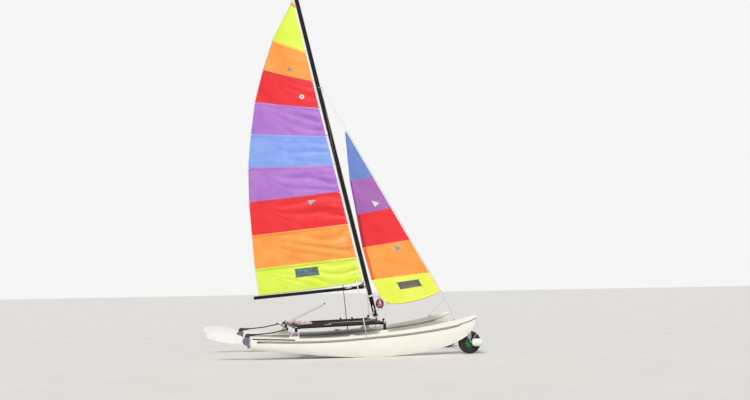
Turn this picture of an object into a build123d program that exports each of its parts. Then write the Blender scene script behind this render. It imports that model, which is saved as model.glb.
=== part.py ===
from build123d import *
import math
import os

# Sixteen foot beach catamaran, standing on its hulls with a two wheeled dolly under the bows.
# Millimetres. X runs forward from the transoms, Y to port, Z up from the floor.
# The finished pieces are moved aft by ORIGIN_X, which puts the origin amidships.

os.makedirs("parts", exist_ok=True)

ORIGIN_X = 2175
SEAT_GAP = 0.3
PIN_CLEARANCE = 0.05

# Hulls
KEEL_Y = 1105
LIP = 6
DECK_CROWN = 0.06
OUTER_FULLNESS = 0.26
INNER_FULLNESS = 0.30
# Columns: x, keel height, lip height, deck height, half beam outboard, half beam inboard, keel half width.
HULL_STATIONS = [
    (0, 245, 405, 498, 78, 92, 10),
    (900, 140, 368, 458, 92, 128, 12),
    (1800, 42, 370, 455, 100, 150, 12),
    (2600, 1, 414, 498, 100, 156, 12),
    (3400, 26, 470, 562, 94, 144, 12),
    (4150, 128, 552, 672, 72, 108, 10),
    (4700, 305, 645, 785, 42, 62, 8),
    (5000, 520, 722, 856, 20, 28, 5),
    (5120, 735, 775, 880, 9, 10, 3),
]
SPANS_BETWEEN_STATIONS = 3
# Past BOW_STEP_X the lip steps up and the deck's side gets lower.
BOW_STEP_X = 4700
BOW_STEP = 38
STRAKE_HEIGHT = 40
STRAKE_TIP_HEIGHT = 12
STRAKE_THICKNESS = 5
STRAKE_START = 130
PORT_X = 2260
PORT_RADIUS = 66
PORT_RIM = 10
PORT_RISE = 6
PORT_COVER = 7
DRAIN_OUTBOARD = 46
DRAIN_Z = 372
DRAIN_RADIUS = 11
DRAIN_DEPTH = 20

# Moulded feet between the deck and the pylons, as x and z corners, before the deck is cut away
FOOT_WIDTH = 104
FOOT_Y = 1050
FOOT_TOP = 594
FRONT_FOOT = [(2700, 440), (2925, FOOT_TOP), (3052, FOOT_TOP), (3070, 440)]
REAR_FOOT = [(790, 400), (930, FOOT_TOP), (1052, FOOT_TOP), (1070, 400)]

# Platform frame
RAIL_Y = 1000
FRONT_X = 3000
FRONT_Z = 745
REAR_X = 1000
REAR_Z = 685
FRONT_BAR_RADIUS = 32
REAR_BAR_RADIUS = 28
RAIL_RADIUS = 25
TUBE_WALL = 2.5
SLEEVE_WALL = 5
SLEEVE_LENGTH = 80
BORE_INSET = 8
PYLON_Y = 1034
PYLON_FOOT_RADIUS = 38
PYLON_HEAD_RADIUS = 29
BOSS_DROP = 22
TRAMPOLINE_THICKNESS = 5
TRAMPOLINE_CORNER = 95
TRAVELLER_LENGTH = 1500
TRAVELLER_WIDTH = 26
TRAVELLER_HEIGHT = 12

# Dolphin striker under the front crossbar
STRUT_LENGTH = 150
STRUT_RADIUS = 12
STRIKER_ROD_RADIUS = 5
STRIKER_REACH = 860
LUG_RADIUS = 10

# Mast, raked aft
MAST_RAKE = 13.57
MAST_FOOT = (3000, 870)
MAST_LENGTH = 8070
MAST_CHORD = 100
MAST_WIDTH = 62
MAST_TAIL = 18
MAST_WALL = 2.5
BALL_RADIUS = 18
BALL_DROP = 14
BALL_AHEAD = 15
BALL_CLEARANCE = 0.4
STEP_SADDLE = 110
HOUND_HEIGHT = 5545
SHACKLE_AHEAD = 32
SHACKLE_RADIUS = 6
STAY_RADIUS = 2
FLOAT_LENGTH = 350
FLOAT_RADIUS = 88

# Boom
GOOSENECK_HEIGHT = 720
SWING_AHEAD = 16
BOOM_START = 102
BOOM_LENGTH = 2580
BOOM_DROOP = 4.8
BOOM_DEPTH = 76
BOOM_WIDTH = 44
BOOM_WALL = 2.5
EAR_GAP = 44
EAR_THICKNESS = 6
TACK_POST_AFT = BOOM_START + 10
CLEW_POST_AFT = BOOM_START + BOOM_LENGTH - 177
FOOT_POST_RADIUS = 5
POST_SIDE = 5

# Sails
CLOTH = 4
LUFF_GAP = 6
MAIN_CAMBER = 0.045
JIB_CAMBER = 0.05
# Columns: luff height up the mast, leech height up the mast, leech distance aft of the mast.
MAIN_SEAMS = [
    (847, 1162, 2542),
    (1439, 1757, 2488),
    (2247, 2526, 2371),
    (3041, 3297, 2252),
    (3674, 4083, 2076),
    (4386, 4830, 1829),
    (5064, 5543, 1559),
    (5717, 6245, 1194),
    (6455, 6911, 786),
    (MAST_LENGTH - 470, MAST_LENGTH - 386, 140),
]
BATTEN_HEIGHT = 22
BATTEN_THICKNESS = 4
BATTEN_TAIL = 16
BATTEN_SEAT = 0.6
HEADBOARD_HEIGHT = 130
# Columns: luff z, leech x, leech z. The luff lies along the forestay.
JIB_SEAMS = [
    (1412, 3287, 1138),
    (1560, 3112, 1345),
    (1869, 2920, 1705),
    (2654, 2708, 2475),
    (3411, 2574, 3247),
    (4153, 2425, 4054),
    (5235, 2325, 5215),
]
JIB_FOOT_DROP = 85
LUFF_SETBACK = 2.33

# Standing rigging
BRIDLE_APEX = (4712, 0, 1248)
BOW_TANG_X = 4600
TANG_THICKNESS = 4
TANG_HOLE = 5
CHAINPLATE_X = 2540
CHAINPLATE_WIDTH = 28
CHAINPLATE_THICKNESS = 4
CHAINPLATE_LOW = 458
CHAINPLATE_HIGH = 550
SHROUD_PIN_Z = 538
SHROUD_PIN_RADIUS = 4
ADJUSTER_LENGTH = 170
ADJUSTER_WIDTH = 22

# Rudders
PINTLE_X = -36
PINTLE_RADIUS = 5
GUDGEON_Z = (300, 440)
GUDGEON_HEIGHT = 30
EYE_RADIUS = 13
CASTING_WIDTH = 38
BLADE_PIVOT = (-118, 402)
BLADE_THICKNESS = 16
BLADE_SLOT = 20
BLADE_REST = 9
AXLE_RADIUS = 6
TILLER_RADIUS = 13
TILLER_SOCKET = 18
SOCKET_ROOT = 34
SOCKET_ROOT_X = -62
SOCKET_LENGTH = 150
TILLER_PATH = [(-24, -KEEL_Y, 572), (140, -KEEL_Y, 571), (460, -KEEL_Y, 597), (800, -KEEL_Y, 660)]
BAR_RADIUS = 12
BAR_EYE = 17
BAR_PIN = 5
OPEN_PIVOT_CLEARANCE = 0.4
STICK_RADIUS = 9
STICK_TOP = (1783, 0, 1164)

# Beach dolly under the bows
DOLLY_X = 5000
TYRE_RADIUS = 258
TYRE_WIDTH = 150
RIM_RADIUS = 112
RIM_WIDTH = 90
WHEEL_Y = 955
HUB_RADIUS = 26
BEAM_RADIUS = 20
SPINDLE_RADIUS = 12
SPINDLE_END = 1150
POST_RADIUS = 16
CHOCK_X = 4950
CHOCK_LENGTH = 84
CHOCK_WIDTH = 60
CHOCK_DEPTH = 60
FENDER_RADIUS = 88
FENDER_LENGTH = 262
FENDER_Z = 262
FENDER_OUTBOARD = 20


def rod(start, end, radius):
    """A round bar between two points."""
    axis = Vector(*end) - Vector(*start)
    return Solid.make_cylinder(radius, axis.length, Plane(origin=start, z_dir=axis))


def tube(start, end, radius, wall):
    """A round tube between two points."""
    return rod(start, end, radius) - rod(start, end, radius - wall)


def line(a, b):
    return Edge.make_line(a, b)


def arc(a, through, b):
    return Edge.make_three_point_arc(a, through, b)


def both_sides(pieces):
    """The pieces and their mirror images in the centre plane."""
    return list(pieces) + [mirror(piece, about=Plane.XZ) for piece in pieces]


def prism(corners, y_low, y_high):
    """A side view outline, as x and z, pushed across the boat."""
    points = [(x, y_low, z) for x, z in corners]
    face = Face(Wire.make_polygon(points, close=True))
    return Solid.extrude(face, Vector(0, y_high - y_low, 0))


def block(x_low, x_high, y_low, y_high, z_low, z_high):
    corners = [(x_low, z_low), (x_high, z_low), (x_high, z_high), (x_low, z_high)]
    return prism(corners, y_low, y_high)


def write(name, pieces):
    """One node: its pieces, moved to the part's origin, in one file."""
    solids = []
    for piece in pieces:
        solids += piece.solids()
    node = Compound(children=[Pos(-ORIGIN_X, 0, 0) * solid for solid in solids])
    node.label = name
    export_step(node, f"parts/{name}.step")


# Hulls


def station_slope(index, column):
    """The slope of a faired line at a station, from the spans on either side."""
    if index in (0, len(HULL_STATIONS) - 1):
        near = min(index, len(HULL_STATIONS) - 2)
        a, b = HULL_STATIONS[near], HULL_STATIONS[near + 1]
        return (b[column] - a[column]) / (b[0] - a[0])
    a, b, c = HULL_STATIONS[index - 1:index + 2]
    before, after = b[0] - a[0], c[0] - b[0]
    slope_before = (b[column] - a[column]) / before
    slope_after = (c[column] - b[column]) / after
    return (slope_before * after + slope_after * before) / (before + after)


def faired(x, column):
    """A hull measure at any x: a smooth cubic through the stations."""
    index = max(i for i, row in enumerate(HULL_STATIONS[:-1]) if row[0] <= max(x, HULL_STATIONS[0][0]))
    a, b = HULL_STATIONS[index], HULL_STATIONS[index + 1]
    run = b[0] - a[0]
    t = (x - a[0]) / run
    rise_a = station_slope(index, column) * run
    rise_b = station_slope(index + 1, column) * run
    return (
        a[column] * (2 * t**3 - 3 * t**2 + 1)
        + rise_a * (t**3 - 2 * t**2 + t)
        + b[column] * (3 * t**2 - 2 * t**3)
        + rise_b * (t**3 - t**2)
    )


def section_places():
    places = []
    for a, b in zip(HULL_STATIONS, HULL_STATIONS[1:]):
        for step in range(SPANS_BETWEEN_STATIONS):
            places.append(a[0] + (b[0] - a[0]) * step / SPANS_BETWEEN_STATIONS)
    return places + [HULL_STATIONS[-1][0]]


def section_measures(x):
    measures = [faired(x, column) for column in range(1, 7)]
    if x > BOW_STEP_X:
        measures[1] += BOW_STEP
    return measures


def hull_measures(x):
    """The measures of the hull at any x, straight between its cross sections."""
    places = section_places()
    index = max(i for i, place in enumerate(places[:-1]) if place <= max(x, places[0]))
    a, b = places[index], places[index + 1]
    t = (x - a) / (b - a)
    return [before * (1 - t) + after * t for before, after in zip(section_measures(a), section_measures(b))]


def lip_at(outer):
    return min(LIP, outer / 3)


def hull_section(x):
    """A cross section of the starboard hull: narrow keel, full sides, deck moulding lapped over them."""
    keel_z, lip_z, deck_z, outer, inner, keel_half = hull_measures(x)
    lip = lip_at(outer)
    keel_rise = keel_half * 0.4

    def at(outboard, z):
        return Vector(x, -(KEEL_Y + outboard), z)

    def side(sign, half, fullness):
        foot = at(sign * keel_half, keel_z + keel_rise)
        head = at(sign * (half - lip), lip_z)
        middle = at(sign * half * (0.55 + fullness), keel_z + keel_rise + (lip_z - keel_z) * 0.42)
        return foot, middle, head

    outer_foot, outer_middle, outer_head = side(1, outer, OUTER_FULLNESS)
    inner_foot, inner_middle, inner_head = side(-1, inner, INNER_FULLNESS)
    outer_lip = at(outer, lip_z)
    outer_deck = at(outer - lip, deck_z)
    inner_deck = at(lip - inner, deck_z)
    inner_lip = at(-inner, lip_z)
    crown = at((outer - inner) / 2, deck_z + DECK_CROWN * (outer + inner))
    return Wire([
        arc(inner_foot, at(0, keel_z), outer_foot),
        arc(outer_foot, outer_middle, outer_head),
        line(outer_head, outer_lip),
        line(outer_lip, outer_deck),
        arc(outer_deck, crown, inner_deck),
        line(inner_deck, inner_lip),
        line(inner_lip, inner_head),
        arc(inner_head, inner_middle, inner_foot),
    ])


def port_seat(base_z, height, radius):
    middle_y = -(KEEL_Y + (faired(PORT_X, 4) - faired(PORT_X, 5)) / 2)
    return rod((PORT_X, middle_y, base_z), (PORT_X, middle_y, base_z + height), radius)


def deck_top(x):
    _, _, deck_z, outer, inner, _ = hull_measures(x)
    return deck_z + DECK_CROWN * (outer + inner)


def port_rim_top():
    return deck_top(PORT_X) + PORT_RISE


def hull_shell():
    return Solid.make_loft([hull_section(x) for x in section_places()], ruled=True)


def hull():
    shell = hull_shell() + port_seat(port_rim_top() - 30, 30, PORT_RADIUS + PORT_RIM)
    drain_y = -KEEL_Y - DRAIN_OUTBOARD
    return shell - rod((-1, drain_y, DRAIN_Z), (DRAIN_DEPTH, drain_y, DRAIN_Z), DRAIN_RADIUS)


def pylon_foot(outline):
    """A moulded foot, cut to stand on the deck."""
    foot = prism(outline, -FOOT_Y - FOOT_WIDTH / 2, -FOOT_Y + FOOT_WIDTH / 2)
    return foot - Pos(0, 0, SEAT_GAP) * hull_shell()


def port_cover():
    cover = port_seat(port_rim_top(), PORT_COVER, PORT_RADIUS)
    return chamfer(cover.edges().sort_by(Axis.Z)[-1], 3)


def strake(side):
    """The rubbing strip along the foot of the deck moulding, outboard (1) or inboard (-1)."""
    sections = []
    for x in [STRAKE_START] + [place for place in section_places() if place > STRAKE_START]:
        _, lip_z, deck_z, outer, inner, _ = hull_measures(x)
        near = SEAT_GAP + (outer if side > 0 else inner)
        height = STRAKE_TIP_HEIGHT if x > BOW_STEP_X else STRAKE_HEIGHT
        lean = lip_at(outer) * height / (deck_z - lip_z)
        top = lip_z + height
        corners = [(near, lip_z), (near + STRAKE_THICKNESS, lip_z)]
        corners += [(near + STRAKE_THICKNESS - lean, top), (near - lean, top)]
        points = [(x, -(KEEL_Y + side * out), z) for out, z in corners]
        sections.append(Wire.make_polygon(points, close=True))
    return Solid.make_loft(sections, ruled=True)


# Platform


def corner(x, z, bar_radius, toward):
    """A cast corner: a sleeve on the crossbar, a sleeve on the side rail and a boss on the pylon."""
    y = -RAIL_Y

    def along_rail(distance):
        return (x + toward.X * distance, y, z + toward.Z * distance)

    bar_sleeve = rod((x, y - 44, z), (x, y + SLEEVE_LENGTH - 30, z), bar_radius + SLEEVE_WALL)
    rail_sleeve = rod((x, y, z), along_rail(SLEEVE_LENGTH + bar_radius), RAIL_RADIUS + SLEEVE_WALL)
    boss = rod((x, -PYLON_Y, z - bar_radius - BOSS_DROP), (x, -PYLON_Y, z), PYLON_HEAD_RADIUS)
    bar_bore = rod((x, y - BORE_INSET, z), (x, y + SLEEVE_LENGTH, z), bar_radius + SEAT_GAP)
    rail_start = along_rail(bar_radius + BORE_INSET)
    rail_bore = rod(rail_start, along_rail(SLEEVE_LENGTH + bar_radius + 5), RAIL_RADIUS + SEAT_GAP)
    return bar_sleeve + rail_sleeve + boss - bar_bore - rail_bore


def pylon(x, z, bar_radius):
    foot = (x, -PYLON_Y, FOOT_TOP)
    height = z - bar_radius - BOSS_DROP - FOOT_TOP
    return Solid.make_cone(PYLON_FOOT_RADIUS, PYLON_HEAD_RADIUS, height, Plane(origin=foot, z_dir=(0, 0, 1)))


def rail_direction():
    return Vector(FRONT_X - REAR_X, 0, FRONT_Z - REAR_Z).normalized()


def side_rail():
    run = rail_direction()
    rear = Vector(REAR_X, -RAIL_Y, REAR_Z) + run * (REAR_BAR_RADIUS + BORE_INSET + SEAT_GAP)
    front = Vector(FRONT_X, -RAIL_Y, FRONT_Z) - run * (FRONT_BAR_RADIUS + BORE_INSET + SEAT_GAP)
    return tube(rear, front, RAIL_RADIUS, TUBE_WALL)


def crossbar(x, z, radius):
    half = RAIL_Y + BORE_INSET - SEAT_GAP
    return tube((x, -half, z), (x, half, z), radius, TUBE_WALL)


def trampoline():
    """The taut bed between the crossbars and rails, cut back round the corner castings."""
    run = rail_direction()
    frame = Plane(origin=(REAR_X, 0, REAR_Z), x_dir=run, z_dir=Vector(-run.Z, 0, run.X))
    length = math.hypot(FRONT_X - REAR_X, FRONT_Z - REAR_Z)
    rear = REAR_BAR_RADIUS + SEAT_GAP
    front = length - FRONT_BAR_RADIUS - SEAT_GAP
    half = RAIL_Y - RAIL_RADIUS - SEAT_GAP
    notch = half - 38
    corner_rear = rear + TRAMPOLINE_CORNER
    corner_front = front - TRAMPOLINE_CORNER
    outline = Polyline(
        (rear, -notch), (corner_rear, -notch), (corner_rear, -half), (corner_front, -half),
        (corner_front, -notch), (front, -notch), (front, notch), (corner_front, notch),
        (corner_front, half), (corner_rear, half), (corner_rear, notch), (rear, notch), close=True,
    )
    bed = extrude(make_face(outline), TRAMPOLINE_THICKNESS / 2, both=True)
    return frame * bed


def dolphin_striker():
    top = FRONT_Z - FRONT_BAR_RADIUS - SEAT_GAP
    low = top - STRUT_LENGTH
    striker = rod((FRONT_X, 0, low - 8), (FRONT_X, 0, top), STRUT_RADIUS)
    for side in (-1, 1):
        y = side * STRIKER_REACH
        lug = rod((FRONT_X, y, top - 22), (FRONT_X, y, top), LUG_RADIUS)
        tension = rod((FRONT_X, 0, low), (FRONT_X, y, top - 14), STRIKER_ROD_RADIUS)
        striker = striker + lug + tension
    return striker


def traveller():
    """The slotted track on the rear crossbar and the car that stands on it."""
    base = REAR_Z + REAR_BAR_RADIUS + SEAT_GAP
    half = TRAVELLER_LENGTH / 2
    wide = TRAVELLER_WIDTH / 2
    track = block(REAR_X - wide, REAR_X + wide, -half, half, base, base + TRAVELLER_HEIGHT)
    slot = block(REAR_X - 4, REAR_X + 4, -half - 1, half + 1, base + 5, base + TRAVELLER_HEIGHT + 1)
    car_base = base + TRAVELLER_HEIGHT + SEAT_GAP
    car = block(REAR_X - 20, REAR_X + 20, -45, 45, car_base, car_base + 12)
    bail = rod((REAR_X, 0, car_base), (REAR_X, 0, car_base + 34), 7)
    return [track - slot, car + bail]


# Mast


def mast_point(height, aft=0.0, y=0.0):
    """A point by its height up the mast and its distance aft of the mast's middle."""
    rake = math.radians(MAST_RAKE)
    x = MAST_FOOT[0] - height * math.sin(rake) - aft * math.cos(rake)
    z = MAST_FOOT[1] + height * math.cos(rake) - aft * math.sin(rake)
    return Vector(x, y, z)


def up_mast():
    return (mast_point(1) - mast_point(0)).normalized()


def aft_of_mast():
    return (mast_point(0, 1) - mast_point(0)).normalized()


def mast_section(height, inset, tail_inset):
    """The mast's section, blunt in front and narrow aft, made smaller all round by inset."""
    front = -MAST_CHORD / 2 + inset
    shoulder = -MAST_CHORD / 2 + MAST_WIDTH * 0.55
    tail = MAST_CHORD / 2 - tail_inset
    half = MAST_WIDTH / 2 - inset
    half_tail = MAST_TAIL / 2 - inset * 0.6
    middle = (shoulder + tail) / 2 + 6
    half_middle = (half + half_tail) / 2 + 3

    def at(aft, y):
        return mast_point(height, aft, y)

    return Wire([
        arc(at(shoulder, half), at(front, 0), at(shoulder, -half)),
        arc(at(shoulder, -half), at(middle, -half_middle), at(tail, -half_tail)),
        line(at(tail, -half_tail), at(tail, half_tail)),
        arc(at(tail, half_tail), at(middle, half_middle), at(shoulder, half)),
    ])


def mast_solid(low, high, inset, tail_inset):
    return Solid.extrude(Face(mast_section(low, inset, tail_inset)), up_mast() * (high - low))


def mast():
    outer = mast_solid(0, MAST_LENGTH, 0, 0)
    inner = mast_solid(0, MAST_LENGTH, MAST_WALL, 15)
    groove_aft = MAST_CHORD / 2 - 4
    groove = rod(mast_point(GOOSENECK_HEIGHT + 90, groove_aft), mast_point(MAST_LENGTH + 1, groove_aft), 4.5)
    return outer - inner - groove


def ball_centre():
    return mast_point(-BALL_DROP, -BALL_AHEAD)


def shackle_centre():
    return mast_point(HOUND_HEIGHT, -MAST_CHORD / 2 - SHACKLE_AHEAD)


def turning_direction():
    """The mast turns about the line from the step ball to the shackle that holds the stays."""
    return (shackle_centre() - ball_centre()).normalized()


def mast_step():
    ball = ball_centre()
    saddle_top = FRONT_Z + FRONT_BAR_RADIUS + 12
    half = STEP_SADDLE / 2
    saddle = block(FRONT_X - 46, FRONT_X + 46, -half, half, FRONT_Z + 12, saddle_top)
    seat_ends = [(FRONT_X, side * STEP_SADDLE, FRONT_Z) for side in (-1, 1)]
    seat = rod(seat_ends[0], seat_ends[1], FRONT_BAR_RADIUS + SEAT_GAP)
    post_base = (ball.X, 0, saddle_top - 2)
    upright = Plane(origin=post_base, z_dir=(0, 0, 1))
    post = Solid.make_cone(26, 11, ball.Z - saddle_top - 4, upright)
    knob = Plane(origin=ball) * Solid.make_sphere(BALL_RADIUS, angle1=-90)
    return saddle - seat + post + knob


def mast_base():
    """The cast foot of the mast: a cup that sits on the step ball and a spigot in the tube."""
    ball = ball_centre()
    cup = mast_solid(-BALL_DROP - 5, -SEAT_GAP, -2, -2) + mast_solid(-SEAT_GAP, 16, MAST_WALL + SEAT_GAP, 16)
    hollow = Plane(origin=ball) * Solid.make_sphere(BALL_RADIUS + BALL_CLEARANCE, angle1=-90)
    return cup - hollow


def hound_tang():
    """A collar round the mast with a nose that holds the stays' shackle."""
    turning = turning_direction()
    centre = shackle_centre()
    low = HOUND_HEIGHT - 4
    nose_front = -MAST_CHORD / 2 - SHACKLE_AHEAD - 15

    def at(aft, y):
        return mast_point(low, aft, y)

    half = MAST_WIDTH / 2 + 5
    outline = Wire.make_polygon([
        at(nose_front, -13), at(nose_front, 13), at(-MAST_CHORD / 2 - 6, 22), at(-20, half), at(16, half),
        at(16, -half), at(-20, -half), at(-MAST_CHORD / 2 - 6, -22),
    ], close=True)
    plate = Solid.extrude(Face(outline), up_mast() * 8)
    opening = mast_solid(low - 5, low + 20, -SEAT_GAP, -SEAT_GAP)
    hole = rod(centre - turning * 20, centre + turning * 20, SHACKLE_RADIUS + PIN_CLEARANCE * 2)
    return plate - opening - hole


def stay_shackle():
    """The pin through the tang, with a head above and the knuckle that gathers the stays below."""
    turning = turning_direction()
    centre = shackle_centre()
    pin = rod(centre - turning * 16, centre + turning * 10, SHACKLE_RADIUS)
    head = rod(centre + turning * 5, centre + turning * 10, SHACKLE_RADIUS + 3)
    knuckle = Plane(origin=centre - turning * 18) * Solid.make_sphere(12, angle1=-90)
    return pin + head + knuckle


def masthead_float():
    """A teardrop float on a short post, its blunt end forward."""
    centre = mast_point(MAST_LENGTH + FLOAT_RADIUS + 12)
    nose = FLOAT_LENGTH * 0.36
    tail = FLOAT_LENGTH - nose
    profile = Wire([
        line((-nose, 0, 0), (tail, 0, 0)),
        arc((tail, 0, 0), (tail * 0.55, FLOAT_RADIUS * 0.74, 0), (0, FLOAT_RADIUS, 0)),
        arc((0, FLOAT_RADIUS, 0), (-nose * 0.72, FLOAT_RADIUS * 0.69, 0), (-nose, 0, 0)),
    ])
    body = Solid.revolve(Face(profile), 360, Axis.X)
    frame = Plane(origin=centre, x_dir=aft_of_mast(), z_dir=up_mast())
    cap = mast_solid(MAST_LENGTH + SEAT_GAP, MAST_LENGTH + 22, -2, -2)
    return frame * body + cap


def swing_point(height):
    """A point on the line that the boom and the mainsail turn about."""
    return mast_point(height, MAST_CHORD / 2 + SWING_AHEAD)


def gooseneck():
    """Two ears and a pin behind the mast."""
    pieces = []
    for low in (GOOSENECK_HEIGHT - EAR_GAP / 2 - EAR_THICKNESS, GOOSENECK_HEIGHT + EAR_GAP / 2):
        def at(aft, y, low=low):
            return mast_point(low, aft, y)
        aft_end = MAST_CHORD / 2 + SWING_AHEAD + 12
        outline = Wire.make_polygon(
            [at(0, -38), at(30, -34), at(aft_end, -11), at(aft_end, 11), at(30, 34), at(0, 38)], close=True
        )
        ear = Solid.extrude(Face(outline), up_mast() * EAR_THICKNESS)
        pieces.append(ear - mast_solid(low - 5, low + 20, -SEAT_GAP, -SEAT_GAP))
    reach = EAR_GAP / 2 + EAR_THICKNESS + 4
    pin = rod(swing_point(GOOSENECK_HEIGHT - reach), swing_point(GOOSENECK_HEIGHT + reach), 5)
    return pieces[0] + pieces[1] + pin


# Boom and sails


def boom_frame():
    """A plane at the boom's forward end, its Z along the boom towards the aft end."""
    droop = math.radians(BOOM_DROOP)
    return Plane(
        origin=mast_point(GOOSENECK_HEIGHT, BOOM_START),
        x_dir=(0, -1, 0), z_dir=(-math.cos(droop), 0, -math.sin(droop)),
    )


def boom_bar(start, length, width, depth, corner_radius):
    frame = boom_frame()
    outline = Plane(origin=frame.origin + frame.z_dir * start, x_dir=frame.x_dir, z_dir=frame.z_dir)
    section = outline * RectangleRounded(width, depth, corner_radius)
    return Solid.extrude(section.faces()[0], frame.z_dir * length)


def boom():
    outer = boom_bar(0, BOOM_LENGTH, BOOM_WIDTH, BOOM_DEPTH, 16)
    inner = boom_bar(0, BOOM_LENGTH, BOOM_WIDTH - 2 * BOOM_WALL, BOOM_DEPTH - 2 * BOOM_WALL, 16 - BOOM_WALL)
    return outer - inner


def foot_post(aft):
    """A post on top of the boom that holds a corner of the mainsail's foot."""
    luff, leech = seam_ends(MAIN_SEAMS[0])
    start = MAST_CHORD / 2 + LUFF_GAP
    foot = luff + (leech - luff) * (aft - start) / (MAIN_SEAMS[0][2] - start)
    frame = boom_frame()
    above = Vector(frame.z_dir.Z, 0, -frame.z_dir.X)
    along = (foot - frame.origin).dot(frame.z_dir)
    base = frame.origin + frame.z_dir * along + above * (BOOM_DEPTH / 2 + SEAT_GAP)
    side = Vector(0, POST_SIDE, 0)
    top = foot - (foot - base).normalized() * 2 * SEAT_GAP
    return rod(base + side, top + side, FOOT_POST_RADIUS)


def boom_fittings():
    """The toggle on the gooseneck pin with its plug, the aft end's cap and the posts under the sail."""
    frame = boom_frame()
    half = EAR_GAP / 2 - 2
    low, high = GOOSENECK_HEIGHT - half, GOOSENECK_HEIGHT + half
    barrel = rod(swing_point(low), swing_point(high), 11)
    neck = rod(swing_point(GOOSENECK_HEIGHT), frame.origin - frame.z_dir * 2, 9)
    plug = boom_bar(-6, 6 - SEAT_GAP, BOOM_WIDTH, BOOM_DEPTH, 16)
    bore = rod(swing_point(low - 1), swing_point(high + 1), 5 + PIN_CLEARANCE)
    cap = boom_bar(BOOM_LENGTH + SEAT_GAP, 14, BOOM_WIDTH, BOOM_DEPTH, 16)
    return [barrel + neck + plug - bore, cap, foot_post(TACK_POST_AFT), foot_post(CLEW_POST_AFT)]


def cloth_section(luff, leech, camber, offset, thickness, drop=0):
    """A thin curved section from luff to leech, bellied to port and, at a rounded foot, down by drop."""
    depth = (leech - luff).length * camber
    sag = Vector(0, depth, -drop)
    belly = (luff + leech) / 2 + sag
    outer = sag.normalized() * offset
    inner = sag.normalized() * (offset + thickness)
    return Wire([
        arc(luff + outer, belly + outer, leech + outer),
        line(leech + outer, leech + inner),
        arc(leech + inner, belly + inner, luff + inner),
        line(luff + inner, luff + outer),
    ])


def seam_ends(row):
    luff_height, leech_height, leech_aft = row
    luff = mast_point(luff_height, MAST_CHORD / 2 + LUFF_GAP)
    return luff, mast_point(leech_height, leech_aft)


def mainsail():
    """Panels joined at the battens, each ruled between two curved sections."""
    sections = []
    for row in MAIN_SEAMS:
        luff, leech = seam_ends(row)
        sections.append(cloth_section(luff, leech, MAIN_CAMBER, -CLOTH / 2, CLOTH))
    return Solid.make_loft(sections, ruled=True)


def near_seam(row, neighbour):
    """A row of measures half a batten's height from one seam towards the next."""
    t = BATTEN_HEIGHT / 2 / abs(neighbour[0] - row[0])
    return [a * (1 - t) + b * t for a, b in zip(row, neighbour)]


def batten_tail(row, offset):
    """The end of a batten, past the leech."""
    luff, leech = seam_ends(row)
    outward = (leech - luff).normalized()
    rise = up_mast() * BATTEN_HEIGHT * 0.7
    near = leech - outward * 6 + Vector(0, offset, 0) - rise / 2
    far = near + outward * (BATTEN_TAIL + 6)
    across = Vector(0, BATTEN_THICKNESS, 0)
    return Solid.extrude(Face(Wire.make_polygon([near, far, far + across, near + across], close=True)), rise)


def main_battens():
    """A batten along each seam, on the starboard face, bent with the sail, its tail past the leech."""
    battens = []
    offset = -CLOTH / 2 - BATTEN_SEAT - BATTEN_THICKNESS
    for below, row, above in zip(MAIN_SEAMS, MAIN_SEAMS[1:], MAIN_SEAMS[2:]):
        sections = []
        for place in (near_seam(row, below), row, near_seam(row, above)):
            luff, leech = seam_ends(place)
            sections.append(cloth_section(luff, leech, MAIN_CAMBER, offset, BATTEN_THICKNESS))
        battens.append(Solid.make_loft(sections, ruled=True) + batten_tail(row, offset))
    return battens


def headboard():
    luff, leech = seam_ends(MAIN_SEAMS[-1])
    low = luff + up_mast() * 0.5
    out = leech + up_mast() * 0.5
    rise = up_mast() * HEADBOARD_HEIGHT
    points = [low, out, out + rise * 0.35, low + rise]
    face = Face(Wire.make_polygon([p - Vector(0, 4, 0) for p in points], close=True))
    return Solid.extrude(face, Vector(0, 8, 0))


def jib():
    """Panels ruled between curved sections, the lowest rounded down to the foot."""
    sections = []
    drop = JIB_FOOT_DROP
    stay_rise = (knuckle_centre() - Vector(*BRIDLE_APEX)).normalized().Z
    for luff_z, leech_x, leech_z in JIB_SEAMS:
        luff = Vector(forestay_x(luff_z) - LUFF_SETBACK / stay_rise, 0, luff_z)
        leech = Vector(leech_x, 0, leech_z)
        sections.append(cloth_section(luff, leech, JIB_CAMBER, -CLOTH / 2, CLOTH, drop))
        drop = 0
    return Solid.make_loft(sections, ruled=True)


# Standing rigging


def stay(start, end, trim_start, trim_end):
    """A wire between two points, stopped short of both."""
    a, b = Vector(*start), Vector(*end)
    run = (b - a).normalized()
    return rod(a + run * trim_start, b - run * trim_end, STAY_RADIUS)


def knuckle_centre():
    return shackle_centre() - turning_direction() * 18


def forestay_x(z):
    """Where the forestay's line is at a height."""
    top = knuckle_centre()
    t = (z - BRIDLE_APEX[2]) / (top.Z - BRIDLE_APEX[2])
    return BRIDLE_APEX[0] + (top.X - BRIDLE_APEX[0]) * t


def tang_place():
    """The middle of a bow tang's lower hole, on the deck's middle line."""
    y = -(KEEL_Y + (faired(BOW_TANG_X, 4) - faired(BOW_TANG_X, 5)) / 2)
    return Vector(BOW_TANG_X, y, deck_top(BOW_TANG_X) + 16)


def bow_tang():
    """A plate on edge along the deck, bored for the bridle and for a line ahead of it."""
    hole = tang_place()
    aft, fore = hole.X - 22, hole.X + 44
    half = TANG_THICKNESS / 2
    low = [(aft, deck_top(aft) + SEAT_GAP), (fore, deck_top(fore) + SEAT_GAP)]
    plate = prism(low + [(fore, hole.Z + 14), (aft, hole.Z + 9)], hole.Y - half, hole.Y + half)
    for x, z in ((hole.X, hole.Z), (hole.X + 28, hole.Z + 5)):
        plate = plate - rod((x, hole.Y - 5, z), (x, hole.Y + 5, z), TANG_HOLE)
    return plate


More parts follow.
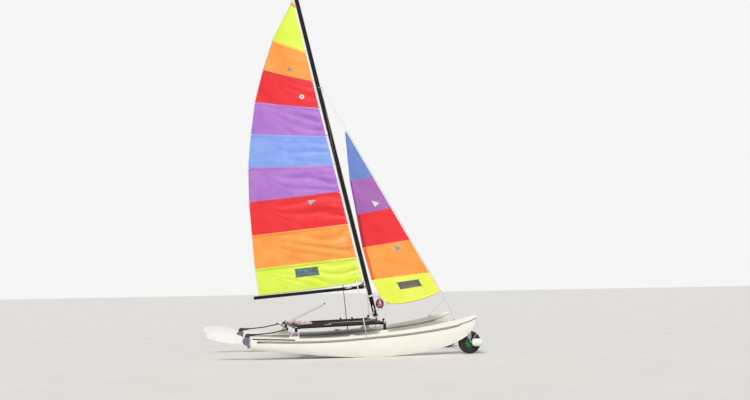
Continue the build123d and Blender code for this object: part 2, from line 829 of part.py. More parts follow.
def bridle():
    """Two wires from the bows to the ring under the forestay."""
    apex = Vector(*BRIDLE_APEX)
    ring = Plane(origin=apex) * Solid.make_sphere(9, angle1=-90)
    pieces = ring
    for side in (-1, 1):
        hole = tang_place()
        top = Vector(hole.X, -side * hole.Y, hole.Z + 9)
        link = Solid.make_torus(9, 2.4, Plane(origin=top, z_dir=(1, 0, 0)))
        head = top + (apex - top).normalized() * 9
        pieces = pieces + link + rod(head, apex, STAY_RADIUS + 0.5)
    return pieces


def chainplate_face(z):
    """The y of a chainplate's inboard face, which leans with the side of the deck moulding."""
    _, lip_z, deck_z, outer, _, _ = hull_measures(CHAINPLATE_X)
    lean = lip_at(outer) / (deck_z - lip_z)
    return -(KEEL_Y + outer + SEAT_GAP - lean * (z - lip_z))


def chainplate():
    near = [(chainplate_face(z), z) for z in (CHAINPLATE_LOW, CHAINPLATE_HIGH)]
    far = [(y - CHAINPLATE_THICKNESS, z) for y, z in reversed(near)]
    aft = CHAINPLATE_X - CHAINPLATE_WIDTH / 2
    outline = Wire.make_polygon([(aft, y, z) for y, z in near + far], close=True)
    strap = Solid.extrude(Face(outline), Vector(CHAINPLATE_WIDTH, 0, 0))
    return strap - shroud_pin(SHROUD_PIN_RADIUS)


def shroud_pin(radius):
    y = chainplate_face(SHROUD_PIN_Z)
    return rod((CHAINPLATE_X, y - 8, SHROUD_PIN_Z), (CHAINPLATE_X, y + 7, SHROUD_PIN_Z), radius)


def shroud():
    """The side stay, its adjuster plate inboard of the chainplate and the pin through both."""
    low = Vector(CHAINPLATE_X, chainplate_face(SHROUD_PIN_Z) + 4, SHROUD_PIN_Z)
    top = knuckle_centre()
    run = (top - low).normalized()
    wire = rod(low + run * (ADJUSTER_LENGTH - 12), top - run * 12.5, STAY_RADIUS)
    across = run.cross(Vector(0, 1, 0)).normalized() * ADJUSTER_WIDTH / 2
    bottom = low - run * 8
    end = low + run * ADJUSTER_LENGTH
    normal = across.cross(run).normalized() * 1.5
    corners = [bottom - across, bottom + across, end + across, end - across]
    outline = Wire.make_polygon([corner_point - normal for corner_point in corners], close=True)
    plate = Solid.extrude(Face(outline), normal * 2)
    return wire + plate + shroud_pin(SHROUD_PIN_RADIUS - PIN_CLEARANCE)


# Rudders and tiller


def gudgeon(z):
    """A bracket on the transom, bored for the pintle."""
    top = z + GUDGEON_HEIGHT
    base = block(-5 - SEAT_GAP, -SEAT_GAP, -KEEL_Y - 28, -KEEL_Y + 28, z, top)
    web = block(PINTLE_X, -5, -KEEL_Y - 8, -KEEL_Y + 8, z, top)
    eye = rod((PINTLE_X, -KEEL_Y, z), (PINTLE_X, -KEEL_Y, top), EYE_RADIUS)
    bore_radius = PINTLE_RADIUS + PIN_CLEARANCE
    return base + web + eye - rod((PINTLE_X, -KEEL_Y, z - 1), (PINTLE_X, -KEEL_Y, top + 1), bore_radius)


def blade_point(along, below, y):
    angle = math.radians(BLADE_REST)
    x = BLADE_PIVOT[0] - along * math.cos(angle) - below * math.sin(angle)
    z = BLADE_PIVOT[1] + along * math.sin(angle) - below * math.cos(angle)
    return Vector(x, y, z)


def rudder_blade():
    """The blade as it is kicked up, its root in the casting's slot."""
    low_y = -KEEL_Y - BLADE_THICKNESS / 2

    def at(along, below):
        return blade_point(along, below, low_y)

    outline = Wire([
        line(at(-24, 30), at(-24, -44)),
        line(at(-24, -44), at(110, -128)),
        arc(at(110, -128), at(450, -172), at(770, -128)),
        arc(at(770, -128), at(852, -55), at(790, 12)),
        arc(at(790, 12), at(450, 57), at(110, 36)),
        line(at(110, 36), at(-24, 30)),
    ])
    blade = Solid.extrude(Face(outline), Vector(0, BLADE_THICKNESS, 0))
    x, z = BLADE_PIVOT
    return blade - rod((x, -KEEL_Y - 30, z), (x, -KEEL_Y + 30, z), AXLE_RADIUS + PIN_CLEARANCE)


def rudder_casting():
    """The head on the pintle: cheeks either side of the blade and the tiller's socket on top."""
    half = CASTING_WIDTH / 2

    def at(x, z):
        return Vector(x, -KEEL_Y - half, z)

    outline = Wire([
        line(at(-24, 272), at(-24, 594)),
        line(at(-24, 594), at(-96, 594)),
        arc(at(-96, 594), at(-122, 556), at(-128, 508)),
        arc(at(-128, 508), at(-178, 420), at(-110, 342)),
        arc(at(-110, 342), at(-80, 322), at(-72, 272)),
        line(at(-72, 272), at(-24, 272)),
    ])
    cheeks = Solid.extrude(Face(outline), Vector(0, CASTING_WIDTH, 0))
    half_slot = BLADE_SLOT / 2
    slot_outline = [(-58, 200), (-58, 566), (-400, 640), (-400, 200)]
    head = cheeks - prism(slot_outline, -KEEL_Y - half_slot, -KEEL_Y + half_slot)
    for z in GUDGEON_Z:
        low, high = z - 4, z + GUDGEON_HEIGHT + 4
        head = head - rod((PINTLE_X, -KEEL_Y, low), (PINTLE_X, -KEEL_Y, high), EYE_RADIUS + 4)
        head = head - block(PINTLE_X, 10, -KEEL_Y - 40, -KEEL_Y + 40, low, high)
    pin = rod((PINTLE_X, -KEEL_Y, 272), (PINTLE_X, -KEEL_Y, 590), PINTLE_RADIUS)
    x, z = BLADE_PIVOT
    axle = rod((x, -KEEL_Y - half - 4, z), (x, -KEEL_Y + half + 4, z), AXLE_RADIUS)
    start, bend = Vector(*TILLER_PATH[0]), Vector(*TILLER_PATH[1])
    run = (bend - start).normalized()
    root = Vector(SOCKET_ROOT_X, -KEEL_Y, start.Z - SOCKET_ROOT / 2)
    end = start + run * SOCKET_LENGTH
    taper = Plane(origin=root, z_dir=end - root)
    socket = Solid.make_cone(SOCKET_ROOT, TILLER_SOCKET, (end - root).length, taper)
    bore = rod(start + run * 30, start + run * (SOCKET_LENGTH + 9), TILLER_RADIUS + SEAT_GAP)
    return head + pin + axle + socket - bore


def tiller_arm():
    start, bend, middle, end = [Vector(*point) for point in TILLER_PATH]
    run = (bend - start).normalized()
    arm = rod(start + run * (30 + SEAT_GAP), bend, TILLER_RADIUS)
    arm = arm + rod(bend, middle, TILLER_RADIUS) + rod(middle, end, TILLER_RADIUS)
    for joint in (bend, middle, end):
        arm = arm + Plane(origin=joint) * Solid.make_sphere(TILLER_RADIUS, angle1=-90)
    pin = rod(end, (end.X, end.Y, bar_height() + 18), BAR_PIN)
    return arm + pin


def bar_height():
    return TILLER_PATH[-1][2] + TILLER_RADIUS + 13


def tiller_crossbar():
    """The bar between the tillers. Its starboard eye turns on the arm's pin and its port eye has room."""
    x, y, _ = TILLER_PATH[-1]
    z = bar_height()
    bar = rod((x, y, z), (x, -y, z), BAR_RADIUS)
    for side, clearance in ((1, PIN_CLEARANCE), (-1, OPEN_PIVOT_CLEARANCE)):
        bar = bar + rod((x, side * y, z - 12.5), (x, side * y, z + 12.5), BAR_EYE)
        bar = bar - rod((x, side * y, z - 20), (x, side * y, z + 20), BAR_PIN + clearance)
    knuckle = rod((x, 0, z), (x, 0, z + 30), 13)
    return bar + knuckle


def hiking_stick():
    x = TILLER_PATH[-1][0]
    base = Vector(x, 0, bar_height() + 30 + SEAT_GAP)
    swivel = rod(base, base + Vector(0, 0, 12), 13)
    run = (Vector(*STICK_TOP) - base).normalized()
    shaft = rod(base + Vector(0, 0, 8), Vector(*STICK_TOP), STICK_RADIUS)
    grip = rod(Vector(*STICK_TOP) - run * 90, Vector(*STICK_TOP), STICK_RADIUS + 4)
    return swivel + shaft + grip


# Beach dolly


def wheel_ring(profile):
    """A ring turned about the starboard wheel's axis, from each corner's radius and place across."""
    axis = Axis((DOLLY_X, -WHEEL_Y, TYRE_RADIUS), (0, 1, 0))
    points = [(DOLLY_X, -WHEEL_Y + across, TYRE_RADIUS + radius) for radius, across in profile]
    return Solid.revolve(Face(Wire.make_polygon(points, close=True)), 360, axis)


def dolly_tyre():
    wide = TYRE_WIDTH / 2
    return wheel_ring([
        (RIM_RADIUS + SEAT_GAP, 20 - wide), (TYRE_RADIUS - 58, -wide), (TYRE_RADIUS - 22, 5 - wide),
        (TYRE_RADIUS - 4, 24 - wide), (TYRE_RADIUS, 0), (TYRE_RADIUS - 4, wide - 24),
        (TYRE_RADIUS - 22, wide - 5), (TYRE_RADIUS - 58, wide), (RIM_RADIUS + SEAT_GAP, wide - 20),
    ])


def dolly_rim():
    """A dished rim with its disc and a hub bored for the spindle."""
    wide = RIM_WIDTH / 2
    bore = SPINDLE_RADIUS + PIN_CLEARANCE
    return wheel_ring([
        (RIM_RADIUS, -wide), (RIM_RADIUS, wide), (RIM_RADIUS - 10, wide), (RIM_RADIUS - 22, 12),
        (HUB_RADIUS, 12), (HUB_RADIUS, wide), (bore, wide), (bore, -wide),
        (HUB_RADIUS, -wide), (HUB_RADIUS, -12), (RIM_RADIUS - 22, -12), (RIM_RADIUS - 10, -wide),
    ])


def across_boat(y_from, y_to, radius):
    return rod((DOLLY_X, y_from, TYRE_RADIUS), (DOLLY_X, y_to, TYRE_RADIUS), radius)


def dolly_frame():
    """The axle beam with its spindles, and on each a leaning post and a chock under the keel."""
    inner_end = WHEEL_Y - RIM_WIDTH / 2 - 2
    collar = WHEEL_Y + RIM_WIDTH / 2 + 2
    aft, fore = CHOCK_X - CHOCK_LENGTH / 2, CHOCK_X + CHOCK_LENGTH / 2
    keel_aft, keel_fore = hull_measures(aft)[0] - SEAT_GAP, hull_measures(fore)[0] - SEAT_GAP
    low = keel_aft - CHOCK_DEPTH
    chock_outline = [(aft, low), (fore, low), (fore, keel_fore), (aft, keel_aft)]
    frame = across_boat(-inner_end, inner_end, BEAM_RADIUS)
    for side in (-1, 1):
        y = side * KEEL_Y
        frame = frame + across_boat(side * (inner_end - 5), side * SPINDLE_END, SPINDLE_RADIUS)
        frame = frame + across_boat(side * collar, side * (collar + 8), BEAM_RADIUS)
        frame = frame + rod((DOLLY_X, y, TYRE_RADIUS), (CHOCK_X, y, low + 5), POST_RADIUS)
        frame = frame + prism(chock_outline, y - CHOCK_WIDTH / 2, y + CHOCK_WIDTH / 2)
    return frame


def bow_fender():
    """A rounded fender ahead of the post, clear of the tyre, dented by the post and the spindle."""
    aft = DOLLY_X + FENDER_RADIUS + 6
    fore = aft + FENDER_LENGTH - 2 * FENDER_RADIUS
    ends = [Vector(x, -KEEL_Y - FENDER_OUTBOARD, FENDER_Z) for x in (aft, fore)]
    fender = rod(ends[0], ends[1], FENDER_RADIUS)
    for end in ends:
        fender = fender + Plane(origin=end) * Solid.make_sphere(FENDER_RADIUS, angle1=-90)
    post_foot = Vector(DOLLY_X, -KEEL_Y, TYRE_RADIUS)
    post_head = Vector(CHOCK_X, -KEEL_Y, hull_measures(CHOCK_X - CHOCK_LENGTH / 2)[0] - CHOCK_DEPTH)
    run = (post_head - post_foot).normalized()
    fender = fender - rod(post_foot - run * SEAT_GAP, post_head, POST_RADIUS + SEAT_GAP)
    return fender - across_boat(-KEEL_Y - FENDER_RADIUS * 2, -KEEL_Y + 40, SPINDLE_RADIUS + SEAT_GAP)


def write_pair(name, piece):
    """A piece and its mirror image as two nodes."""
    write(f"starboard_{name}", [piece])
    write(f"port_{name}", [mirror(piece, about=Plane.XZ)])


def write_platform():
    front = (FRONT_X, FRONT_Z, FRONT_BAR_RADIUS)
    rear = (REAR_X, REAR_Z, REAR_BAR_RADIUS)
    run = rail_direction()
    write_pair("hull", hull())
    write("pylon_feet", both_sides([pylon_foot(FRONT_FOOT), pylon_foot(REAR_FOOT)]))
    write("rubbing_strakes", both_sides([strake(1), strake(-1)]))
    write("deck_ports", both_sides([port_cover()]))
    write("corner_castings", both_sides([corner(*front, run * -1), corner(*rear, run)]))
    write("pylons", both_sides([pylon(*front), pylon(*rear)]))
    write("front_crossbar", [crossbar(*front)])
    write("rear_crossbar", [crossbar(*rear)])
    write("side_rails", both_sides([side_rail()]))
    write("trampoline", [trampoline()])
    write("dolphin_striker", [dolphin_striker()])
    write("traveller", traveller())
    write("mast_step", [mast_step()])
    write("dolly_frame", [dolly_frame()])
    write("bow_fenders", both_sides([bow_fender()]))
    write_pair("dolly_tyre", dolly_tyre())
    write_pair("dolly_rim", dolly_rim())


def write_rig():
    write("mast", [mast()])
    write("mast_base", [mast_base()])
    write("hound_tang", [hound_tang()])
    write("masthead_float", [masthead_float()])
    write("gooseneck", [gooseneck()])
    write("boom", [boom()])
    write("boom_fittings", boom_fittings())
    write("mainsail", [mainsail()])
    write("main_battens", main_battens())
    write("headboard", [headboard()])
    write("jib", [jib()])
    write("stay_shackle", [stay_shackle()])
    write("forestay", [stay(knuckle_centre(), BRIDLE_APEX, 12.5, 9.5)])
    write("shrouds", both_sides([shroud()]))
    write("chainplates", both_sides([chainplate()]))
    write("bow_tangs", both_sides([bow_tang()]))
    write("bridle", [bridle()])


def write_steering():
    write("rudder_gudgeons", both_sides([gudgeon(z) for z in GUDGEON_Z]))
    write_pair("rudder_casting", rudder_casting())
    write_pair("tiller_arm", tiller_arm())
    write_pair("rudder_blade", rudder_blade())
    write("tiller_crossbar", [tiller_crossbar()])
    write("hiking_stick", [hiking_stick()])


write_platform()
write_rig()
write_steering()
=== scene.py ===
import math
import bpy
import bmesh
from mathutils import Matrix, Vector, noise
from mathutils.bvhtree import BVHTree


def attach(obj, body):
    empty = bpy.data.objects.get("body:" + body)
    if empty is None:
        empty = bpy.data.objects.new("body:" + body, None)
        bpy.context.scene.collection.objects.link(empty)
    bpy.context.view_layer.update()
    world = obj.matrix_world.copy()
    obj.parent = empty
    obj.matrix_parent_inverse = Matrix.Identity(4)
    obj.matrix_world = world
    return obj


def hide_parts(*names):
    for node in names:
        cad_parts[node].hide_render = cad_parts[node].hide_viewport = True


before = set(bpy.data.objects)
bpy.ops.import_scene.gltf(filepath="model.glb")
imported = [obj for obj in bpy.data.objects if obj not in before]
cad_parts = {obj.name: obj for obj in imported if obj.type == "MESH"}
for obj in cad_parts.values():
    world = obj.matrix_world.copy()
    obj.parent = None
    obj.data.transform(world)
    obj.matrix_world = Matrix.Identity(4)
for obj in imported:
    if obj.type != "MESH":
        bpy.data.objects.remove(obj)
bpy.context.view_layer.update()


# Hulls: two foam sandwich shells, each laid up in a mould and closed by a deck moulding lapped over the lip.
# Sprayed gelcoat gives them a warm white gloss, with fine scuffs and a little beach dust along the keel.
TRANSOM = -2.175
SIDES = {"starboard": -1, "port": 1}


def aboard(x, y, z):
    """A place on the boat: forward of the transom, to port of the middle line and above the beach."""
    return Vector((x + TRANSOM, y, z))


def linear(hex_colour):
    """An sRGB hex colour as the linear colour that a shader takes."""
    channels = []
    for place in (1, 3, 5):
        level = int(hex_colour[place:place + 2], 16) / 255
        channels.append(level / 12.92 if level <= 0.04045 else ((level + 0.055) / 1.055) ** 2.4)
    return (*channels, 1)


def put(tree, kind, inputs=None, stops=(), **settings):
    """Adds a node with its settings and links. An input is a plain value or another node's output."""
    node = tree.nodes.new(kind)
    for name, value in settings.items():
        setattr(node, name, value)
    for name, value in (inputs or {}).items():
        if isinstance(value, bpy.types.NodeSocket):
            tree.links.new(value, node.inputs[name])
        else:
            node.inputs[name].default_value = value
    for index, (place, colour) in enumerate(stops):
        if index >= len(node.color_ramp.elements):
            node.color_ramp.elements.new(place)
        node.color_ramp.elements[index].position = place
        node.color_ramp.elements[index].color = linear(colour)
    return node


def new_finish(name):
    """An empty material and its node tree."""
    material = bpy.data.materials.new(name)
    material.use_nodes = True
    material.node_tree.nodes.clear()
    return material, material.node_tree


def surfaced(tree, tone, gloss, relief=None, more=None):
    """Ends a finish. The tone is a level and its colour stops, the gloss is a level and the roughness at its
    two ends, or one roughness, and the relief is a height, a strength and a depth in metres."""
    colour = put(tree, "ShaderNodeValToRGB", {"Fac": tone[0]}, tone[1])
    inputs = {"Base Color": colour.outputs["Color"], "Roughness": gloss}
    if isinstance(gloss, tuple):
        rough = put(tree, "ShaderNodeMapRange", {"Value": gloss[0], "To Min": gloss[1], "To Max": gloss[2]})
        inputs["Roughness"] = rough.outputs["Result"]
    if relief:
        height, strength, depth = relief
        bump = put(tree, "ShaderNodeBump", {"Height": height, "Strength": strength, "Distance": depth})
        inputs["Normal"] = bump.outputs[0]
    shader = put(tree, "ShaderNodeBsdfPrincipled", {**inputs, **(more or {})})
    put(tree, "ShaderNodeOutputMaterial", {"Surface": shader.outputs["BSDF"]})


def dress(material, *names):
    """Gives CAD nodes their finish."""
    for name in names:
        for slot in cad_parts[name].material_slots:
            slot.material = material


def moulded_gelcoat(name, clean, worn):
    """Sprayed and polished gelcoat: nearly even, glossy, and duller where sand has rubbed it."""
    material, tree = new_finish(name)
    place = put(tree, "ShaderNodeTexCoord").outputs["Object"]
    height = put(tree, "ShaderNodeSeparateXYZ", {"Vector": place}).outputs["Z"]
    cloud = put(tree, "ShaderNodeTexNoise", {"Vector": place, "Scale": 3.0, "Detail": 6.0, "Roughness": 0.65})
    low = put(tree, "ShaderNodeMapRange", {"Value": height, "From Max": 0.16, "To Min": 0.2, "To Max": 0.0})
    dirt = put(tree, "ShaderNodeMath", {0: cloud.outputs["Fac"], 1: low.outputs["Result"]}, operation="ADD")
    stretched = put(tree, "ShaderNodeMapping", {"Vector": place, "Scale": (3, 40, 90)})
    scuffs = put(tree, "ShaderNodeTexNoise", {"Vector": stretched.outputs[0], "Scale": 2.0, "Detail": 8.0})
    fine = put(tree, "ShaderNodeTexNoise", {"Vector": place, "Scale": 60.0, "Detail": 3.0})
    surfaced(tree, (dirt.outputs[0], [(0.5, clean), (1.0, worn)]), (scuffs.outputs["Fac"], 0.2, 0.4),
             (fine.outputs["Fac"], 0.05, 0.002), {"IOR": 1.5, "Coat Weight": 0.35, "Coat Roughness": 0.12})
    return material


gelcoat = moulded_gelcoat("hull_gelcoat", "#F6F2E9", "#EAE4D8")
dress(gelcoat, "starboard_hull", "port_hull", "pylon_feet")


# Hull trim: a thin black strip under the deck's edge at each stern, which is painted shade under the
# overhanging lip, and a ribbed tread patch on the side of each rear foot, where a crew member steps aboard,
# its grey painted shade on that outboard face.
STRIPE_RUN = (0.03, 0.96)
DECK_EDGE_AT_STERN = 0.498
DECK_EDGE_FALL = 0.0444
TREAD_CORNERS = [(0.868, 0.505), (0.925, 0.584), (1.038, 0.584), (1.047, 0.505)]


def surface_of(*pieces):
    """A search tree over the surfaces of CAD nodes or pieces."""
    points, faces = [], []
    for piece in pieces:
        start = len(points)
        points += [v.co.copy() for v in piece.data.vertices]
        faces += [[start + i for i in face.vertices] for face in piece.data.polygons]
    return BVHTree.FromPolygons(points, faces)


def onto(surface, start, direction, stand=0.0):
    """Where a line from a place meets a surface, stood off a little, and which way the surface faces."""
    spot, normal, _, _ = surface.ray_cast(start, direction)
    if spot is None:
        spot, normal, _, _ = surface.find_nearest(start)
    return spot - direction * stand, normal


def new_piece(name, points, faces, *materials):
    """A mesh object at the origin."""
    mesh = bpy.data.meshes.new(name)
    mesh.from_pydata([tuple(p) for p in points], [], faces)
    for material in materials:
        mesh.materials.append(material)
    piece = bpy.data.objects.new(name, mesh)
    bpy.context.scene.collection.objects.link(piece)
    return piece


def thicken(piece, thickness):
    """Gives a sheet its thickness, half to each side."""
    wall = piece.modifiers.new("thickness", "SOLIDIFY")
    wall.thickness = thickness
    wall.offset = 0


def laid_strip(name, rows, thickness, material, body):
    """A thin plate or film from rows of points, riding on a body."""
    wide = len(rows[0])
    faces = []
    for row in range(len(rows) - 1):
        for i in range(wide - 1):
            a = row * wide + i
            faces.append((a, a + 1, a + wide + 1, a + wide))
    piece = new_piece(name, [point for row in rows for point in row], faces, material)
    for face in piece.data.polygons:
        face.use_smooth = True
    thicken(piece, thickness)
    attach(piece, body)
    return piece


def weathered(name, stops, cloud, gloss, relief=None, drawn=(1, 1, 1), uv_map=None, more=None):
    """A finish whose colour and gloss follow one cloud: a noise's scale, detail and roughness. The relief is
    a strength and a depth, and where it isn't the same cloud, a pattern node, its inputs and its output.
    Drawn is how many times closer the pattern lies along each axis."""
    material, tree = new_finish(name)
    if uv_map:
        place = put(tree, "ShaderNodeUVMap", uv_map=uv_map).outputs["UV"]
    else:
        place = put(tree, "ShaderNodeTexCoord").outputs["Object"]
    along = put(tree, "ShaderNodeMapping", {"Vector": place, "Scale": drawn}).outputs[0]
    scale, detail, roughness = cloud
    level = put(tree, "ShaderNodeTexNoise", {
        "Vector": along, "Scale": scale, "Detail": detail, "Roughness": roughness,
    }).outputs["Fac"]
    if isinstance(gloss, tuple):
        gloss = (level, *gloss)
    if relief:
        strength, depth, *pattern = relief
        height = level
        if pattern:
            kind, inputs, output = pattern
            height = put(tree, kind, {"Vector": along, **inputs}).outputs[output]
        relief = (height, strength, depth)
    surfaced(tree, (level, stops), gloss, relief, more)
    return material


def pressed_vinyl(name, colour, worn, relief=None):
    """Vinyl film: matt and even, with a faint scuff."""
    return weathered(name, [(0.4, colour), (0.8, worn)], (25.0, 6.0, 0.5), (0.45, 0.7), relief)


# Painted shade: a black film under the deck's edge at each stern stands for the shade under the overhanging
# lip.
black_shade_vinyl = pressed_vinyl("black_vinyl_film", "#161617", "#2B2B2C")
tread_ribs = (0.8, 0.002, "ShaderNodeTexWave", {"Scale": 14.0}, "Fac")
# Painted shade: the tread's grey stands for the shade on the rear foot's outboard face; its ribs are relief.
tread_shade_vinyl = pressed_vinyl("ribbed_tread_vinyl", "#7B7780", "#93909A", tread_ribs)
hull_surface = surface_of(*[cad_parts[n] for n in ("starboard_hull", "port_hull", "pylon_feet")])
for side, sign in SIDES.items():
    inward = Vector((0, -sign, 0))
    stripe = []
    for below in (0.010, 0.024, 0.038):
        row = []
        for step in range(33):
            x = STRIPE_RUN[0] + (STRIPE_RUN[1] - STRIPE_RUN[0]) * step / 32
            z = DECK_EDGE_AT_STERN - DECK_EDGE_FALL * x - below
            row.append(onto(hull_surface, aboard(x, sign * 1.5, z), inward, 0.0006)[0])
        stripe.append(row)
    # The black strip of painted shade under the deck's edge.
    laid_strip(f"{side}_stern_stripe", stripe, 0.0008, black_shade_vinyl, "platform")
    # The ribbed tread, painted grey as shade on the foot's outboard side.
    tread = []
    for up in range(5):
        ends = [Vector(low).lerp(Vector(high), up / 4) for low, high in zip(
            (TREAD_CORNERS[0], TREAD_CORNERS[3]), (TREAD_CORNERS[1], TREAD_CORNERS[2]))]
        places = [ends[0].lerp(ends[1], i / 12) for i in range(13)]
        tread.append([onto(hull_surface, aboard(p.x, sign * 1.5, p.y), inward, 0.0008)[0] for p in places])
    laid_strip(f"{side}_foot_tread", tread, 0.0012, tread_shade_vinyl, "platform")


# Rubbing strakes: grey vinyl mouldings bonded along the outside of each lip, with a black bead along the
# lower edge that is painted shade under the strake, widening at its aft end into a black stop. The vinyl is
# matt, with a drawn grain along it and pale rub marks.
BEAD_RADIUS = 0.0045
STOP_RADIUS = 0.013


def drawn_vinyl(name, dark, light):
    """Extruded vinyl: matt, streaked along its length."""
    return weathered(name, [(0.3, dark), (0.7, light)], (4.0, 6.0, 0.5), (0.5, 0.75), (0.2, 0.0006),
                     (2, 60, 60))


def round_of(centre, across, third, radius, sides):
    """A ring of points."""
    turns = [2 * math.pi * k / sides for k in range(sides)]
    return [centre + (across * math.cos(turn) + third * math.sin(turn)) * radius for turn in turns]


def rings_joined(rings, sides):
    """The faces between each ring of points and the next."""
    faces = []
    for i in range(rings - 1):
        for k in range(sides):
            a, b = i * sides + k, i * sides + (k + 1) % sides
            faces.append((a, b, b + sides, a + sides))
    return faces


def tube(path, radii, sides=8):
    """Points and faces of a closed round bar along a path; radii is one size or one for each point."""
    points = []
    radii = radii if isinstance(radii, (list, tuple)) else [radii] * len(path)
    across = (path[1] - path[0]).normalized().orthogonal().normalized()
    for i, (spot, radius) in enumerate(zip(path, radii)):
        run = (path[min(i + 1, len(path) - 1)] - path[max(i - 1, 0)]).normalized()
        across = (across - run * across.dot(run)).normalized()
        points += round_of(spot, across, run.cross(across), radius, sides)
    last = (len(path) - 1) * sides
    ends = [tuple(reversed(range(sides))), tuple(range(last, last + sides))]
    return points, rings_joined(len(path), sides) + ends


def turned(profile, centre, axis, sides=32):
    """Points and faces of a turned shape; each row of the profile is a radius and a place along the axis."""
    across = axis.orthogonal().normalized()
    third = axis.cross(across).normalized()
    points = []
    for radius, along in profile:
        points += round_of(centre + axis * along, across, third, radius, sides)
    return points, rings_joined(len(profile), sides)


def put_together(name, shapes, material, body, angle=40):
    """One piece from several closed shapes: doubles merged, faces outwards, sharp edges kept."""
    points, faces = [], []
    for shape_points, shape_faces in shapes:
        start = len(points)
        points += shape_points
        faces += [tuple(start + i for i in face) for face in shape_faces]
    piece = new_piece(name, points, faces, material)
    shape = bmesh.new()
    shape.from_mesh(piece.data)
    bmesh.ops.remove_doubles(shape, verts=shape.verts, dist=0.00002)
    bmesh.ops.dissolve_degenerate(shape, edges=shape.edges, dist=0.00002)
    bmesh.ops.recalc_face_normals(shape, faces=shape.faces)
    for face in shape.faces:
        face.smooth = True
    shape.to_mesh(piece.data)
    shape.free()
    piece.data.set_sharp_from_angle(angle=math.radians(angle))
    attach(piece, body)
    return piece


def strake_foot(sign):
    """The lower outer edge of a hull's outboard strake, from the stern to the bow."""
    corners = {}
    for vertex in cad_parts["rubbing_strakes"].data.vertices:
        if vertex.co.y * sign > 1.107:
            corners.setdefault(round(vertex.co.x, 3), []).append(vertex.co)
    edge = []
    for x in sorted(corners):
        foot = min(corners[x], key=lambda spot: (round(spot.z, 4), -abs(spot.y)))
        edge.append(foot.copy())
    return edge


strake_vinyl = drawn_vinyl("strake_vinyl", "#96928E", "#B4B0AB")
# Painted shade: the black bead stands for the shade along each strake's lower edge; its wide aft end is the
# black stop.
bead_shade_vinyl = drawn_vinyl("strake_bead_vinyl", "#1C1B1B", "#3D3A38")
dress(strake_vinyl, "rubbing_strakes")
beads = []
for sign in SIDES.values():
    edge = strake_foot(sign)
    radii = [max(BEAD_RADIUS, STOP_RADIUS - (spot.x - edge[0].x) * 0.16) for spot in edge]
    beads.append(tube(edge, radii))
# The beads of painted shade under the strakes.
put_together("strake_beads", beads, bead_shade_vinyl, "platform")


# Deck ports: screw-in inspection covers in grey moulded plastic, each with a ring of screws and a bar across
# it to grip. The face is lightly pebbled.
PORT_PLACE = (2.26, 1.077)
PORT_SCREWS = 8
DOWN = Vector((0, 0, -1))


def moulded_plastic(name, colour, worn, grain=900.0, gloss=0.45):
    """Injection moulded plastic: an even colour, a fine pebbled grain, paler where it is handled."""
    pebbles = (0.15, 0.0004, "ShaderNodeTexVoronoi", {"Scale": grain}, "Distance")
    return weathered(name, [(0.4, colour), (0.85, worn)], (14.0, 6.0, 0.5), (gloss - 0.08, gloss + 0.12),
                     pebbles, more={"IOR": 1.47})


def polished_stainless(name, colour, dulled, gloss=0.18):
    """Polished stainless steel, a little dulled by salt, with fine brush marks."""
    material, tree = new_finish(name)
    place = put(tree, "ShaderNodeTexCoord").outputs["Object"]
    salt = put(tree, "ShaderNodeTexNoise", {"Vector": place, "Scale": 40.0, "Detail": 8.0}).outputs["Fac"]
    brushed = put(tree, "ShaderNodeMapping", {"Vector": place, "Scale": (30, 400, 400)})
    marks = put(tree, "ShaderNodeTexNoise", {"Vector": brushed.outputs[0], "Scale": 3.0, "Detail": 3.0})
    surfaced(tree, (salt, [(0.4, colour), (0.9, dulled)]), (salt, gloss, gloss + 0.25),
             (marks.outputs["Fac"], 0.05, 0.0003), {"Metallic": 1.0})
    return material


def new_maker(name, sizes):
    """A node tree that grows a shape on a guide, from named sizes in metres and counts."""
    tree = bpy.data.node_groups.new(name, "GeometryNodeTree")
    tree.interface.new_socket(name="Guide", in_out="INPUT", socket_type="NodeSocketGeometry")
    tree.interface.new_socket(name="Finish", in_out="INPUT", socket_type="NodeSocketMaterial")
    for size, value in sizes.items():
        kind = "NodeSocketInt" if isinstance(value, int) else "NodeSocketFloat"
        tree.interface.new_socket(name=size, in_out="INPUT", socket_type=kind).default_value = value
    tree.interface.new_socket(name="Shape", in_out="OUTPUT", socket_type="NodeSocketGeometry")
    return tree, put(tree, "NodeGroupInput").outputs


def end_maker(tree, given, shape):
    """Makes the copies real, gives them their finish and hands them out."""
    real = put(tree, "GeometryNodeRealizeInstances", {"Geometry": shape})
    dressed = put(tree, "GeometryNodeSetMaterial", {"Geometry": real.outputs[0], "Material": given["Finish"]})
    put(tree, "NodeGroupOutput", {"Shape": dressed.outputs[0]})
    return tree


def grown(name, tree, points, edges, facing, sizes, material, body):
    """Runs a maker on guide points or lines and keeps its result as a plain mesh."""
    guide = bpy.data.meshes.new(name)
    guide.from_pydata([tuple(p) for p in points], edges, [])
    rows = guide.attributes.new("facing", "FLOAT_VECTOR", "POINT")
    rows.data.foreach_set("vector", [level for direction in facing for level in direction])
    piece = bpy.data.objects.new(name, guide)
    bpy.context.scene.collection.objects.link(piece)
    maker = piece.modifiers.new("maker", "NODES")
    maker.node_group = tree
    for item in tree.interface.items_tree:
        if item.name in sizes:
            maker[item.identifier] = sizes[item.name]
        if item.name == "Finish":
            maker[item.identifier] = material
    bpy.context.view_layer.update()
    depsgraph = bpy.context.evaluated_depsgraph_get()
    result = bpy.data.meshes.new_from_object(piece.evaluated_get(depsgraph))
    piece.modifiers.remove(maker)
    piece.data = result
    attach(piece, body)
    return piece


def faced_copies(tree, given, shape, scale=(1, 1, 1)):
    """A copy of a shape on each guide point, turned the way that the point faces."""
    facing = put(tree, "GeometryNodeInputNamedAttribute", {"Name": "facing"}, data_type="FLOAT_VECTOR")
    turn = put(tree, "FunctionNodeAlignRotationToVector", {"Vector": facing.outputs["Attribute"]}, axis="Z")
    copies = put(tree, "GeometryNodeInstanceOnPoints", {
        "Points": given["Guide"], "Instance": shape, "Rotation": turn.outputs["Rotation"], "Scale": scale,
    })
    return end_maker(tree, given, copies.outputs["Instances"])


